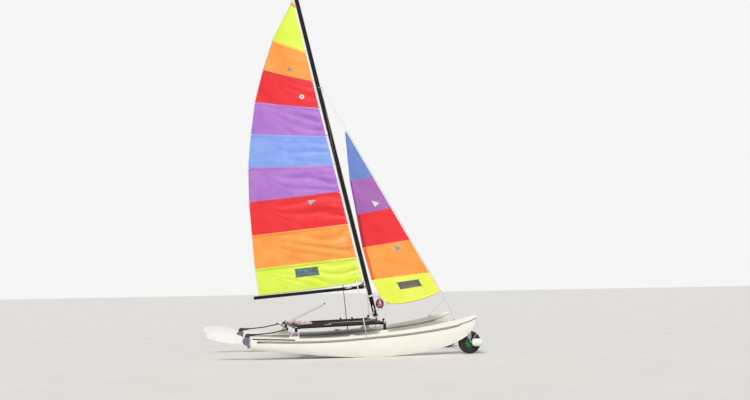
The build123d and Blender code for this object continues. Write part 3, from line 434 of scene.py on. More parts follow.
def domed_heads():
    """Screw and rivet heads: a low dome on each guide point."""
    tree, given = new_maker("domed_heads", {"Head radius": 0.005, "Head height": 0.0025})
    dome = put(tree, "GeometryNodeMeshUVSphere", {"Segments": 10, "Rings": 6, "Radius": 1.0})
    size = put(tree, "ShaderNodeCombineXYZ", {
        "X": given["Head radius"], "Y": given["Head radius"], "Z": given["Head height"],
    })
    return faced_copies(tree, given, dome.outputs["Mesh"], size.outputs["Vector"])


def heads_on(name, surface, starts, direction, radius, body, material=None):
    """A head at each place where a line from a start meets a surface."""
    spots, facing = [], []
    for start in starts:
        spot, normal = onto(surface, start, direction)
        spots.append(spot)
        facing.append(normal if normal.dot(direction) < 0 else -normal)
    sizes = {"Head radius": radius, "Head height": radius * 0.5}
    return grown(name, head_maker, spots, [], facing, sizes, material or stainless, body)


stainless = polished_stainless("polished_stainless", "#C9CACB", "#9D9C98")
cover_plastic = moulded_plastic("deck_port_plastic", "#B9BABA", "#CFCFCC")
dress(cover_plastic, "deck_ports")
head_maker = domed_heads()
port_surface = surface_of(*[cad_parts[n] for n in ("deck_ports", "starboard_hull", "port_hull")])
screw_starts, grips = [], []
for sign in SIDES.values():
    for turn in range(PORT_SCREWS):
        angle = 2 * math.pi * turn / PORT_SCREWS
        x = PORT_PLACE[0] + 0.071 * math.cos(angle)
        screw_starts.append(aboard(x, sign * PORT_PLACE[1] + 0.071 * math.sin(angle), 1.0))
    top = onto(port_surface, aboard(PORT_PLACE[0], sign * PORT_PLACE[1], 1.0), DOWN)[0]
    reach = Vector((0.03, 0.03, 0))
    ends = [top - reach, top - reach * 0.9, top + reach * 0.9, top + reach]
    grips.append(tube(ends, [0.002, 0.006, 0.006, 0.002]))
heads_on("port_screws", port_surface, screw_starts, DOWN, 0.0035, "platform")
put_together("port_grips", grips, cover_plastic, "platform")


# Corner castings and pylons: sand cast aluminium, anodised black, pinned to the bars with stainless rivets.
# The cast skin is slightly grainy, and grey shows through where straps and feet rub.
def black_anodised(name, colour, rubbed, gloss, grain, drawn=(1, 1, 1)):
    """Anodised aluminium: a dark dyed skin, rubbed thin in places."""
    skin = (0.18, 0.0006, "ShaderNodeTexNoise", {"Scale": grain, "Detail": 4.0}, "Fac")
    return weathered(name, [(0.45, colour), (0.8, rubbed)], (9.0, 8.0, 0.7), (gloss, gloss + 0.22), skin,
                     drawn, more={"Metallic": 0.55})


REAR_BAR = aboard(1.0, 0, 0.685)
FRONT_BAR = aboard(3.0, 0, 0.745)
RAIL_RISE = (FRONT_BAR - REAR_BAR).normalized()
cast_black = black_anodised("cast_black_aluminium", "#151516", "#3A3A3B", 0.42, 500.0)
dress(cast_black, "corner_castings", "pylons")
casting_surface = surface_of(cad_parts["corner_castings"])
casting_pins, end_caps = [], []
for bar, radius in ((FRONT_BAR, 0.037), (REAR_BAR, 0.033)):
    toward = -1 if bar is FRONT_BAR else 1
    for sign in SIDES.values():
        casting_pins += [bar + Vector((0, sign * y, 0.3)) for y in (0.965, 1.03)]
        casting_pins += [bar + RAIL_RISE * toward * run + Vector((0, sign, 0.3)) for run in (0.075, 0.102)]
        rows = [(0, 0), (radius * 0.72, 0), (radius * 0.72, 0.002), (radius * 0.6, 0.004), (0, 0.005)]
        end_caps.append(turned(rows, bar + Vector((0, sign * 1.0441, 0)), Vector((0, sign, 0)), 24))
heads_on("casting_rivets", casting_surface, casting_pins, DOWN, 0.0048, "platform")
put_together("bar_end_caps", end_caps, cover_plastic, "platform")


# Crossbars and side rails: drawn aluminium tube, anodised black, with die lines along each tube. The mast
# step's saddle and the striker's lugs are riveted through the front one.
tube_across = black_anodised("crossbar_tube", "#101011", "#2C2C2E", 0.28, 160.0, (14, 1, 14))
tube_along = black_anodised("side_rail_tube", "#101011", "#2C2C2E", 0.3, 160.0, (1, 14, 14))
dress(tube_across, "front_crossbar", "rear_crossbar")
dress(tube_along, "side_rails")
bar_surface = surface_of(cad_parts["front_crossbar"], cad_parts["rear_crossbar"])
bar_pins = []
for bar, ys in ((FRONT_BAR, (-0.9, -0.84, -0.08, 0.08, 0.84, 0.9)), (REAR_BAR, (-0.9, -0.84, 0.84, 0.9))):
    bar_pins += [bar + Vector((x, y, 0.3)) for x in (-0.012, 0.012) for y in ys]
heads_on("bar_rivets", bar_surface, bar_pins, DOWN, 0.0042, "platform")


# Dolphin striker, stay fittings and rudder gudgeons: stainless steel bar and plate, cut, drilled and
# polished. The tang that the stays hang from on the mast is brushed, so it looks duller.
dress(stainless, "dolphin_striker", "stay_shackle", "chainplates", "bow_tangs", "rudder_gudgeons")
dress(polished_stainless("brushed_stainless", "#E2E2E1", "#C6C6C3", 0.4), "hound_tang")


# Trampoline: a bed of black vinyl coated mesh in two halves, laced together down the middle and to the rear
# bar through brass eyelets in a sewn hem. The mesh has about a 3 mm pitch, drawn at 9 mm so that it shows.
BED_CORNER = 0.095
BED_LENGTH = (FRONT_BAR - REAR_BAR).length
BED_ENDS = (0.0283, BED_LENGTH - 0.0323)
HEM_WIDTH = 0.045
LACE_PITCH = 0.055
LACE_START = 0.1
ON_HEM = 0.0038
OVER_HEM = 0.0062
to_port = Vector((0, 1, 0))


def on_bed(run, y, stand=0.0):
    """A place on the bed, forward of the rear bar and to port, dished a little under its own weight."""
    middle = max(0.0, math.sin(math.pi * min(max((run - 0.03) / (BED_LENGTH - 0.062), 0), 1)))
    dish = 0.006 * middle * max(0.0, 1 - (y / 0.97) ** 2)
    return REAR_BAR + RAIL_RISE * run + Vector((0, y, stand - dish))


def weave(tree, place, pitch):
    """Waves along the two ways of a cloth, from a pitch in metres."""
    axes = put(tree, "ShaderNodeSeparateXYZ", {"Vector": place})
    waves = []
    for axis in ("X", "Y"):
        inputs = {0: axes.outputs[axis], 1: 2 * math.pi / pitch}
        turns = put(tree, "ShaderNodeMath", inputs, operation="MULTIPLY")
        waves.append(put(tree, "ShaderNodeMath", {0: turns.outputs[0]}, operation="SINE").outputs[0])
    return waves


def coated_mesh(name, thread, gap):
    """Woven vinyl coated threads, with the dark gaps between them."""
    material, tree = new_finish(name)
    threads = weave(tree, put(tree, "ShaderNodeTexCoord").outputs["Object"], 0.009)
    higher = put(tree, "ShaderNodeMath", {0: threads[0], 1: threads[1]}, operation="MAXIMUM")
    level = put(tree, "ShaderNodeMapRange", {"Value": higher.outputs[0], "From Min": -1.0, "From Max": 1.0})
    level = level.outputs["Result"]
    surfaced(tree, (level, [(0.35, gap), (0.8, thread)]), (level, 0.95, 0.7), (level, 0.5, 0.0015),
             {"Specular IOR Level": 0.1})
    return material


def trampoline_bed():
    """A fine grid cut back round the corner castings."""
    columns = sorted(set(BED_ENDS) | {BED_ENDS[0] + BED_CORNER, BED_ENDS[1] - BED_CORNER}
                     | {0.03 + 0.0484 * i for i in range(1, 40)})
    rows = sorted({-0.9747, -0.9367, 0.9367, 0.9747} | {-0.93 + 0.0465 * i for i in range(41)})
    points = [on_bed(x, y) for x in columns for y in rows]
    faces = []
    wide = len(rows)
    for i in range(len(columns) - 1):
        for j in range(wide - 1):
            middle_x = (columns[i] + columns[i + 1]) / 2
            middle_y = abs(rows[j] + rows[j + 1]) / 2
            at_corner = not BED_ENDS[0] + BED_CORNER < middle_x < BED_ENDS[1] - BED_CORNER
            if at_corner and middle_y > 0.9367:
                continue
            a = i * wide + j
            faces.append((a, a + wide, a + wide + 1, a + 1))
    bed = new_piece("trampoline_bed", points, faces, mesh_cloth)
    loose = bmesh.new()
    loose.from_mesh(bed.data)
    bmesh.ops.delete(loose, geom=[v for v in loose.verts if not v.link_faces], context="VERTS")
    loose.to_mesh(bed.data)
    loose.free()
    return bed


def bed_band(name, runs, ys):
    """A strip of hem on the bed, between two distances forward and two to port."""
    wide, long = [2 if end - start < 0.2 else 41 for start, end in (ys, runs)]
    rows = []
    for i in range(wide):
        y = ys[0] + (ys[1] - ys[0]) * i / (wide - 1)
        rows.append([on_bed(runs[0] + (runs[1] - runs[0]) * k / (long - 1), y, 0.0024) for k in range(long)])
    return laid_strip(name, rows, 0.0018, hem_vinyl, "platform")


def ringed_eyelets():
    """A pressed ring on each guide point."""
    tree, given = new_maker("ringed_eyelets", {"Ring radius": 0.007, "Wire radius": 0.002})
    ring = put(tree, "GeometryNodeCurvePrimitiveCircle", {"Resolution": 14, "Radius": given["Ring radius"]})
    wire_round = put(tree, "GeometryNodeCurvePrimitiveCircle", {
        "Resolution": 6, "Radius": given["Wire radius"],
    })
    solid = put(tree, "GeometryNodeCurveToMesh", {
        "Curve": ring.outputs["Curve"], "Profile Curve": wire_round.outputs["Curve"],
    })
    return faced_copies(tree, given, solid.outputs["Mesh"])


def swung(tree, given, reach):
    """Even steps along the guide, and a reach across it that changes side at each step."""
    track = put(tree, "GeometryNodeMeshToCurve", {"Mesh": given["Guide"]})
    turns = put(tree, "GeometryNodeResampleCurve", {
        "Curve": track.outputs["Curve"], "Length": given["Pitch"],
    }, mode="LENGTH")
    place = put(tree, "GeometryNodeInputIndex")
    odd = put(tree, "ShaderNodeMath", {0: place.outputs["Index"], 1: 2.0}, operation="MODULO")
    way = put(tree, "ShaderNodeMapRange", {"Value": odd.outputs[0], "To Min": -1.0, "To Max": 1.0})
    size = put(tree, "ShaderNodeMath", {0: way.outputs["Result"], 1: given[reach]}, operation="MULTIPLY")
    facing = put(tree, "GeometryNodeInputNamedAttribute", {"Name": "facing"}, data_type="FLOAT_VECTOR")
    shift = put(tree, "ShaderNodeVectorMath", {
        0: facing.outputs["Attribute"], "Scale": size.outputs[0],
    }, operation="SCALE")
    return turns.outputs["Curve"], shift.outputs["Vector"]


def zigzag_lacing():
    """A line laced from side to side along its guide."""
    tree, given = new_maker("zigzag_lacing", {"Pitch": 0.05, "Reach": 0.012, "Line radius": 0.0025})
    turns, shift = swung(tree, given, "Reach")
    laced = put(tree, "GeometryNodeSetPosition", {"Geometry": turns, "Offset": shift})
    line_round = put(tree, "GeometryNodeCurvePrimitiveCircle", {
        "Resolution": 6, "Radius": given["Line radius"],
    })
    line = put(tree, "GeometryNodeCurveToMesh", {
        "Curve": laced.outputs["Geometry"], "Profile Curve": line_round.outputs["Curve"], "Fill Caps": True,
    })
    smooth = put(tree, "GeometryNodeSetShadeSmooth", {"Geometry": line.outputs["Mesh"]})
    return end_maker(tree, given, smooth.outputs["Geometry"])


def laid_rope(name, colour, shade):
    """Braided polyester line: two crossing rows of plait, drawn at 12 mm, along the line's own UV map."""
    material, tree = new_finish(name)
    spread = put(tree, "ShaderNodeUVMap", uv_map="along").outputs["UV"]
    axes = put(tree, "ShaderNodeSeparateXYZ", {"Vector": spread})
    pitch = put(tree, "ShaderNodeMath", {0: axes.outputs["Y"], 1: 1 / 0.012}, operation="MULTIPLY").outputs[0]
    waves = []
    for hand in (1.0, -1.0):
        inputs = {0: axes.outputs["X"], 1: hand, 2: pitch}
        both = put(tree, "ShaderNodeMath", inputs, operation="MULTIPLY_ADD")
        angle = put(tree, "ShaderNodeMath", {0: both.outputs[0], 1: 2 * math.pi}, operation="MULTIPLY")
        waves.append(put(tree, "ShaderNodeMath", {0: angle.outputs[0]}, operation="SINE").outputs[0])
    plait = put(tree, "ShaderNodeMath", {0: waves[0], 1: waves[1]}, operation="MAXIMUM")
    level = put(tree, "ShaderNodeMapRange", {"Value": plait.outputs[0], "From Min": -1.0, "From Max": 1.0})
    level = level.outputs["Result"]
    surfaced(tree, (level, [(0.2, shade), (0.8, colour)]), (level, 0.9, 0.65), (level, 0.4, 0.0008))
    return material


mesh_cloth = coated_mesh("trampoline_mesh", "#101011", "#040404")
hem_vinyl = pressed_vinyl("trampoline_hem_vinyl", "#0A0A0B", "#161617")
# Pressed brass, browned by salt.
brass = weathered("pressed_brass", [(0.4, "#B59A5C"), (0.8, "#6E6248")], (60.0, 6.0, 0.5), (0.3, 0.6),
                  more={"Metallic": 1.0})
bed = trampoline_bed()
thicken(bed, 0.003)
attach(bed, "platform")
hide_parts("trampoline")
near, far = BED_ENDS[0] + BED_CORNER, BED_ENDS[1] - BED_CORNER
bands = [
    bed_band("rear_hem", (BED_ENDS[0] + 0.001, BED_ENDS[0] + HEM_WIDTH), (-0.936, 0.936)),
    bed_band("front_hem", (BED_ENDS[1] - HEM_WIDTH, BED_ENDS[1] - 0.001), (-0.936, 0.936)),
    bed_band("starboard_hem", (near, far), (-0.974, -0.974 + HEM_WIDTH)),
    bed_band("port_hem", (near, far), (0.974 - HEM_WIDTH, 0.974)),
    bed_band("starboard_middle_hem", (0.08, BED_LENGTH - 0.08), (-0.012 - HEM_WIDTH, -0.012)),
    bed_band("port_middle_hem", (0.08, BED_LENGTH - 0.08), (0.012, 0.012 + HEM_WIDTH)),
]
eyelet_maker = ringed_eyelets()
lacing_maker = zigzag_lacing()
laced_length = BED_LENGTH - 2 * LACE_START
eyelet_spots = [
    on_bed(LACE_START + LACE_PITCH * i, sign * 0.03, ON_HEM)
    for sign in SIDES.values() for i in range(int(laced_length / LACE_PITCH))
]
eyelet_spots += [on_bed(0.058, -0.9 + 0.06 * i, ON_HEM) for i in range(31)]
eyelets = grown("trampoline_eyelets", eyelet_maker, eyelet_spots, [], [Vector((0, 0, 1))] * len(eyelet_spots),
                {"Ring radius": 0.0065, "Wire radius": 0.0018}, brass, "platform")
bed_lace = laid_rope("bed_lacing_line", "#3B3B3E", "#1B1B1C")
middle_run = [on_bed(LACE_START + 0.02 * i, 0, OVER_HEM) for i in range(int(laced_length / 0.02))]
rear_run = [on_bed(0.046, -0.9 + 0.02 * i, OVER_HEM) for i in range(91)]
for name, run, facing, pitch, reach in (
    ("middle_lacing", middle_run, to_port, LACE_PITCH / 2, 0.03),
    ("rear_lacing", rear_run, RAIL_RISE, 0.03, 0.012),
):
    edges = [(i, i + 1) for i in range(len(run) - 1)]
    sizes = {"Pitch": pitch, "Reach": reach, "Line radius": 0.002}
    lace = grown(name, lacing_maker, run, edges, [facing] * len(run), sizes, bed_lace, "platform")


# Traveller: a slotted aluminium track on the rear bar, with a sliding car and a rubber stop at each end.
track_metal = black_anodised("traveller_track", "#2A2A2C", "#6A6A6C", 0.3, 200.0, (14, 1, 14))
stop_plastic = moulded_plastic("black_plastic", "#17171A", "#2E2E31", 700.0, 0.5)
dress(track_metal, "traveller")
stops = []
for sign in SIDES.values():
    rows = [(0, 0), (0.013, 0), (0.014, 0.003), (0.014, 0.016), (0.011, 0.02), (0, 0.02)]
    stops.append(turned(rows, REAR_BAR + Vector((0, sign * 0.735, 0.0405)), Vector((0, 0, 1)), 20))
put_together("traveller_stops", stops, stop_plastic, "platform")


# Mast and boom: pear shaped aluminium section, anodised black, with a groove for the sail's edge. The
# castings on them are bare aluminium, gone a dull grey.
RAKE = math.radians(13.57)
MAST_FOOT = aboard(3.0, 0, 0.870)
UP_MAST = Vector((-math.sin(RAKE), 0, math.cos(RAKE)))
AFT_OF_MAST = Vector((-math.cos(RAKE), 0, -math.sin(RAKE)))


def up_the_mast(height, aft=0.0, y=0.0):
    """A place by its height up the mast and its distance aft of the mast's middle."""
    return MAST_FOOT + UP_MAST * height + AFT_OF_MAST * aft + Vector((0, y, 0))


mast_metal = black_anodised("mast_section", "#0E0E0F", "#2A2A2C", 0.26, 140.0, (14, 14, 1))
boom_metal = black_anodised("boom_section", "#0F0F10", "#2B2B2D", 0.28, 140.0, (1, 14, 14))
cast_grey = black_anodised("cast_grey_aluminium", "#8C8794", "#B3AFB8", 0.4, 400.0)
dress(mast_metal, "mast")
dress(boom_metal, "boom")
dress(cast_grey, "gooseneck", "boom_fittings", "mast_step")
dress(cast_black, "mast_base")
tack_plate = [
    [aboard(x, -0.012, z) for x, z in row] for row in (
        [(2.58, 1.574), (2.62, 1.577), (2.68, 1.582), (2.736, 1.588)],
        [(2.60, 1.589), (2.64, 1.604), (2.69, 1.628), (2.736, 1.645)],
        [(2.625, 1.597), (2.66, 1.622), (2.70, 1.652), (2.734, 1.666)],
    )
]
laid_strip("tack_plate", tack_plate, 0.014, cast_grey, "boom")
mast_surface = surface_of(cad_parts["mast"])
mast_pins = [up_the_mast(h, aft, -0.3) for h in (0.66, 0.78, 5.50, 5.60) for aft in (-0.012, 0.012)]
heads_on("mast_rivets", mast_surface, mast_pins, to_port, 0.004, "mast")


# Cleats and blocks on the mast: moulded white nylon, riveted to its side and its front.
def horn_cleat(foot, along, out, length):
    """A cleat with two horns along the mast, standing out from it on two legs."""
    top = foot + out * 0.02
    reach = along * (length / 2)
    horns = [top - reach + out * 0.005, top - reach * 0.5, top, top + reach * 0.5, top + reach + out * 0.005]
    shapes = [tube(horns, [0.006, 0.0125, 0.0145, 0.0125, 0.006], 10)]
    for way in (-1, 1):
        shapes.append(tube([foot + reach * way * 0.3, top + reach * way * 0.24], [0.011, 0.009], 10))
    return shapes


def cheek_block(centre, axle, radius, half_width):
    """A small sheave between two domed cheeks."""
    cheek = [(0, -1), (0.7, -1), (1, -0.6), (1, -0.35)]
    rows = [*cheek, (0.72, 0), *[(out, -along) for out, along in reversed(cheek)]]
    return turned([(radius * out, half_width * along) for out, along in rows], centre, axle, 24)


white_nylon = moulded_plastic("white_nylon", "#F1F0EC", "#DAD8D1", 500.0, 0.4)
side_foot = onto(mast_surface, up_the_mast(0.18, 0.012, -0.3), to_port)[0]
front_foot = onto(mast_surface, up_the_mast(0.47, -0.3), AFT_OF_MAST)[0]
cleats = horn_cleat(side_foot, UP_MAST, Vector((0, -1, 0)), 0.15)
cleats += horn_cleat(front_foot, UP_MAST, -AFT_OF_MAST, 0.11)
low_foot = onto(mast_surface, up_the_mast(0.075, 0.03, -0.3), to_port)[0]
cleats += horn_cleat(low_foot, UP_MAST, Vector((0, -1, 0)), 0.06)
put_together("mast_cleats", cleats, white_nylon, "mast")
boom_surface = surface_of(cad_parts["boom"])
ALONG_BOOM = Vector((0.9952, 0, 0.0976))
boom_foot = onto(boom_surface, aboard(2.36, -0.3, 1.528), to_port)[0]
boom_cleat = horn_cleat(boom_foot, ALONG_BOOM, -to_port, 0.15)
put_together("boom_cleat", boom_cleat, white_nylon, "boom")
collar = []
for turn in range(4):
    ring = []
    for k in range(25):
        angle = 2 * math.pi * k / 24
        height = 0.452 + 0.0105 * (turn + k / 24)
        spot = up_the_mast(height, -0.3 * math.cos(angle), 0.3 * math.sin(angle))
        middle = up_the_mast(height, -0.004)
        ring.append(onto(mast_surface, spot, (middle - spot).normalized(), 0.005)[0])
    collar.append(tube(ring, 0.005, 6))
put_together("mast_lashing", collar, white_nylon, "mast")


# Halyard and downhaul: braided polyester, pulled tight. The halyard runs down the front of the mast to its
# cleat. The downhaul drops from the gooseneck and turns forward to the mast's foot.
def rope(name, spots, radius, material, body):
    """A round line along a smooth NURBS curve through given control points, with its own UV map."""
    guide = bpy.data.curves.new(name, "CURVE")
    guide.dimensions = "3D"
    spline = guide.splines.new("NURBS")
    spline.points.add(len(spots) - 1)
    for point, spot in zip(spline.points, spots):
        point.co = (*spot, 1)
    spline.order_u = 3
    spline.use_endpoint_u = True
    spline.resolution_u = 5
    holder = bpy.data.objects.new(name + "_route", guide)
    route = bpy.data.meshes.new_from_object(holder)
    path = [vertex.co.copy() for vertex in route.vertices]
    bpy.data.objects.remove(holder)
    points, faces = tube(path, radius, 8)
    piece = new_piece(name, points, faces, material)
    along = [0.0]
    for a, b in zip(path, path[1:]):
        along.append(along[-1] + (b - a).length)
    spread = piece.data.uv_layers.new(name="along")
    for face in piece.data.polygons:
        face.use_smooth = len(face.vertices) == 4
        wraps = len(face.vertices) == 4 and face.vertices[1] % 8 == 0
        for loop in face.loop_indices:
            vertex = piece.data.loops[loop].vertex_index
            turn = 8 if wraps and vertex % 8 == 0 else vertex % 8
            spread.data[loop].uv = (turn / 8, along[vertex // 8])
    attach(piece, body)
    return piece, path


pale_line = laid_rope("pale_polyester_line", "#E6E0D2", "#B0A898")
tan_line = laid_rope("tan_polyester_line", "#C2AA8C", "#8E7A60")
halyard_run = [up_the_mast(height, -0.0545, -0.008) for height in (5.30, 4.4, 3.5, 2.6, 1.7, 0.9, 0.60, 0.49)]
rope("jib_halyard", halyard_run, 0.004, tan_line, "mast")
for part, shift in (("fore", 0.0), ("aft", -0.013)):
    downhaul_run = [
        up_the_mast(0.69, 0.064 - shift, -0.012), aboard(2.822 + shift, -0.014, 1.46),
        aboard(2.832 + shift, -0.016, 1.2), aboard(2.838 + shift, -0.018, 1.0),
        aboard(2.842 + shift, -0.02, 0.93 + shift),
        aboard(2.88, -0.02, 0.905 + shift), up_the_mast(0.02 + shift, 0.044, -0.014),
    ]
    rope(f"downhaul_{part}", downhaul_run, 0.005, pale_line, "mast")
outhaul_run = [
    onto(boom_surface, aboard(1.86, 0, 1.0), Vector((0, 0, 1)))[0], aboard(1.95, -0.012, 1.452),
    aboard(2.15, -0.014, 1.456), aboard(2.35, -0.014, 1.47), aboard(2.6, -0.014, 1.508),
    onto(boom_surface, aboard(2.7, 0, 1.0), Vector((0, 0, 1)))[0],
]
rope("outhaul", outhaul_run, 0.005, pale_line, "boom")


# Coiled halyard tail: about eight metres of red line, made up in a hanging coil and hung from the front cleat
# by a white block. The turns differ in width, drop and lean, and the end is tied in a stopper knot.
RED_LINE = 0.0045
red_line = laid_rope("red_polyester_line", "#A80C15", "#520609")
coil_top = aboard(3.106, -0.03, 1.256)
# Each turn's half width, half drop and lean.
COIL_TURNS = [
    (0.084, 0.110, 0.05), (0.050, 0.104, 0.26), (0.042, 0.072, -0.05), (0.078, 0.104, -0.04),
    (0.050, 0.100, -0.26), (0.060, 0.108, 0.0), (0.046, 0.092, 0.14), (0.080, 0.106, 0.02),
    (0.048, 0.098, -0.14), (0.044, 0.080, 0.06), (0.074, 0.110, 0.06), (0.048, 0.100, 0.34),
    (0.056, 0.104, -0.06), (0.048, 0.100, -0.34), (0.066, 0.106, 0.0), (0.080, 0.108, 0.0),
]
COIL_STEPS = 12


def stopper_knot(name, centre, radius, material, body):
    """A figure of three turns pulled tight, four diameters across."""
    path = []
    for k in range(37):
        angle = 2 * math.pi * k / 36
        path.append(centre + Vector((
            math.sin(angle) + 2 * math.sin(2 * angle), math.cos(angle) - 2 * math.cos(2 * angle),
            -math.sin(3 * angle),
        )) * radius * 0.72)
    return put_together(name, [tube(path[:-1] + [path[0]], radius, 8)], material, body, 80)


block_centre = aboard(3.045, -0.015, 1.335)
coil_spots = [block_centre + Vector((0.006, -0.006, -0.012)), coil_top + Vector((-0.024, -0.05, 0.034))]
for turn, (wide, tall, lean) in enumerate(COIL_TURNS):
    last_turn = turn == len(COIL_TURNS) - 1
    for k in range(1 if turn == 0 else 0, COIL_STEPS + 4 if last_turn else COIL_STEPS):
        angle = 2 * math.pi * (k + 0.5) / COIL_STEPS
        loop = Vector((wide * math.sin(angle), 0, -tall * (1 - math.cos(angle))))
        loop.rotate(Matrix.Rotation(lean, 3, "Y"))
        coil_spots.append(coil_top + loop + Vector((0, -0.07 + 0.0092 * (turn + k / COIL_STEPS), 0)))
end_spot = coil_spots[-1]
coil_spots += [end_spot + Vector((-0.006, 0.002, -0.04)), end_spot + Vector((-0.008, 0.003, -0.08))]
coil, coil_path = rope("halyard_coil", coil_spots, RED_LINE, red_line, "mast")
knot_spot = coil_path[-1] + Vector((0, 0, -0.006))
coil_knot = stopper_knot("halyard_coil_knot", knot_spot, RED_LINE, red_line, "mast")
block_shapes = [
    cheek_block(block_centre, Vector((0, 1, 0)), 0.026, 0.011),
    tube([front_foot - AFT_OF_MAST * 0.014, block_centre + Vector((-0.01, 0, 0.012))], [0.004, 0.006], 8),
    tube([block_centre, coil_top + Vector((0, 0.012, 0.004))], [0.007, 0.004], 8),
]
put_together("halyard_block", block_shapes, white_nylon, "mast")


# Masthead float: a teardrop of white moulded plastic that keeps a capsized boat from turning over.
float_plastic = moulded_plastic("float_plastic", "#F0F0EE", "#DDDCD8", 300.0, 0.35)
dress(float_plastic, "masthead_float")


# Mainsail: panels of woven polyester, sewn edge to edge, one colour to a panel. The cloth is filled with
# resin, so it is smooth and a little glossy, and it creases from the luff towards each batten's outer end.
MAIN_SEAMS = [
    (0.847, 1.150, 2.542), (1.439, 1.757, 2.488), (2.247, 2.526, 2.371), (3.041, 3.297, 2.252),
    (3.674, 4.083, 2.076), (4.386, 4.830, 1.829), (5.064, 5.543, 1.559), (5.717, 6.245, 1.194),
    (6.455, 6.911, 0.786), (7.600, 7.684, 0.140),
]
MAIN_PANELS = ["lime", "orange", "red", "purple", "blue", "purple", "red", "orange", "lime"]
MAIN_CREASES = [0.018, 0.034, 0.038, 0.034, 0.016, 0.026, 0.013, 0.008, 0.004]
MAIN_WINDOW = {"panel": 0, "up": (0.505, 0.80), "across": (0.405, 0.616)}
CLOTH_COLOURS = {
    "lime": ("#E0F83E", "#ECFF62"),
    "orange": ("#FF9838", "#FFAC54"),
    "red": ("#EC1F2A", "#F62F37"),
    "purple": ("#AC6FCB", "#BC84D8"),
    "blue": ("#7FA0EC", "#93B3F7"),
    "deep_blue": ("#6480C6", "#7390D4"),
    "deep_purple": ("#A25FB0", "#B070BC"),
    "yellow_lime": ("#F0FA4E", "#F8FF66"),
    "yellow": ("#F2D53A", "#FBE65C"),
}


def woven_over(tree, place, pitch, depth, height):
    """A height with the threads of a cloth laid over it."""
    for wave in weave(tree, place, pitch):
        inputs = {0: wave, 1: depth, 2: height}
        height = put(tree, "ShaderNodeMath", inputs, operation="MULTIPLY_ADD").outputs[0]
    return height


def sailcloth(name, colours):
    """Resin filled polyester: its weave drawn at 8 mm, with fine crinkles and a soft sheen."""
    material, tree = new_finish(name)
    spread = put(tree, "ShaderNodeUVMap", uv_map="cut").outputs["UV"]
    tone = put(tree, "ShaderNodeTexNoise", {"Vector": spread, "Scale": 2.2, "Detail": 7.0, "Roughness": 0.6})
    crinkle = put(tree, "ShaderNodeTexNoise", {
        "Vector": spread, "Scale": 30.0, "Detail": 5.0, "Distortion": 1.2,
    })
    height = woven_over(tree, spread, 0.008, 0.04, crinkle.outputs["Fac"])
    level = tone.outputs["Fac"]
    surfaced(tree, (level, [(0.35, colours[0]), (0.65, colours[1])]), (level, 0.45, 0.62),
             (height, 0.16, 0.002), {"Sheen Weight": 0.12, "Sheen Roughness": 0.5})
    return material


def clear_vinyl(name, tint, dark):
    """A sewn-in window of press polished vinyl film: smoky, glossy and a little rippled."""
    return weathered(name, [(0.35, dark), (0.65, tint)], (9.0, 5.0, 0.5), (0.08, 0.25), (0.2, 0.002),
                     uv_map="cut", more={"IOR": 1.5, "Transmission Weight": 0.35})


PANEL_ROWS = 22


def creases(cut, panel, up, across):
    """Tension creases that fan from the luff to the outer end of the batten above, and short luff ones."""
    if across >= 0.995 or not cut["creases"]:
        return 0.0
    lift = across ** 1.5
    start = (up - lift) / (1 - lift)
    if start < -0.6:
        return 0.0
    inside = min(max(up, 0.0), 1.0)
    clear_of_tape = max(0.0, min(1.0, (across - 0.022) / 0.05))
    fade = (1 - across) ** 1.1 * math.sin(math.pi * inside) ** 0.8 * clear_of_tape
    wander = noise.noise(Vector((across * 2.2, up * 1.4, panel * 3.7)))
    fold = 1 - 2 * abs(math.sin(math.pi * (2.1 * start + 0.8 * wander + 0.37 * panel)))
    small = 1 - 2 * abs(math.sin(math.pi * (6.0 * up + 1.5 * wander)))
    return cut["creases"][panel] * fade * (fold + 0.4 * small * max(0.0, 1 - across * 2.5))


def on_cloth(cut, panel, up, across, stand=0.0):
    """A place on a sail: up a panel, across from luff to leech, and stood to port of the cloth."""
    low, high = cut["edges"][panel], cut["edges"][panel + 1]
    luff = low[0].lerp(high[0], up)
    leech = low[1].lerp(high[1], up)
    shape = 4 * across * (1 - across)
    belly = (leech - luff).length * cut["belly"] * shape
    drop = cut["round"] * (1 - up) ** 2 * shape if panel == 0 else 0.0
    y = belly + creases(cut, panel, up, across) + stand
    return luff.lerp(leech, across) + Vector((0, y, -drop))


def beside_seam(cut, seam, across, rise, stand):
    """A place a little above or below a seam."""
    panel = seam if rise >= 0 and seam < len(cut["edges"]) - 1 else seam - 1
    low, high = cut["edges"][panel], cut["edges"][panel + 1]
    height = low[0].lerp(low[1], across) - high[0].lerp(high[1], across)
    up = rise / height.length + (0 if panel == seam else 1)
    return on_cloth(cut, panel, up, across, stand)


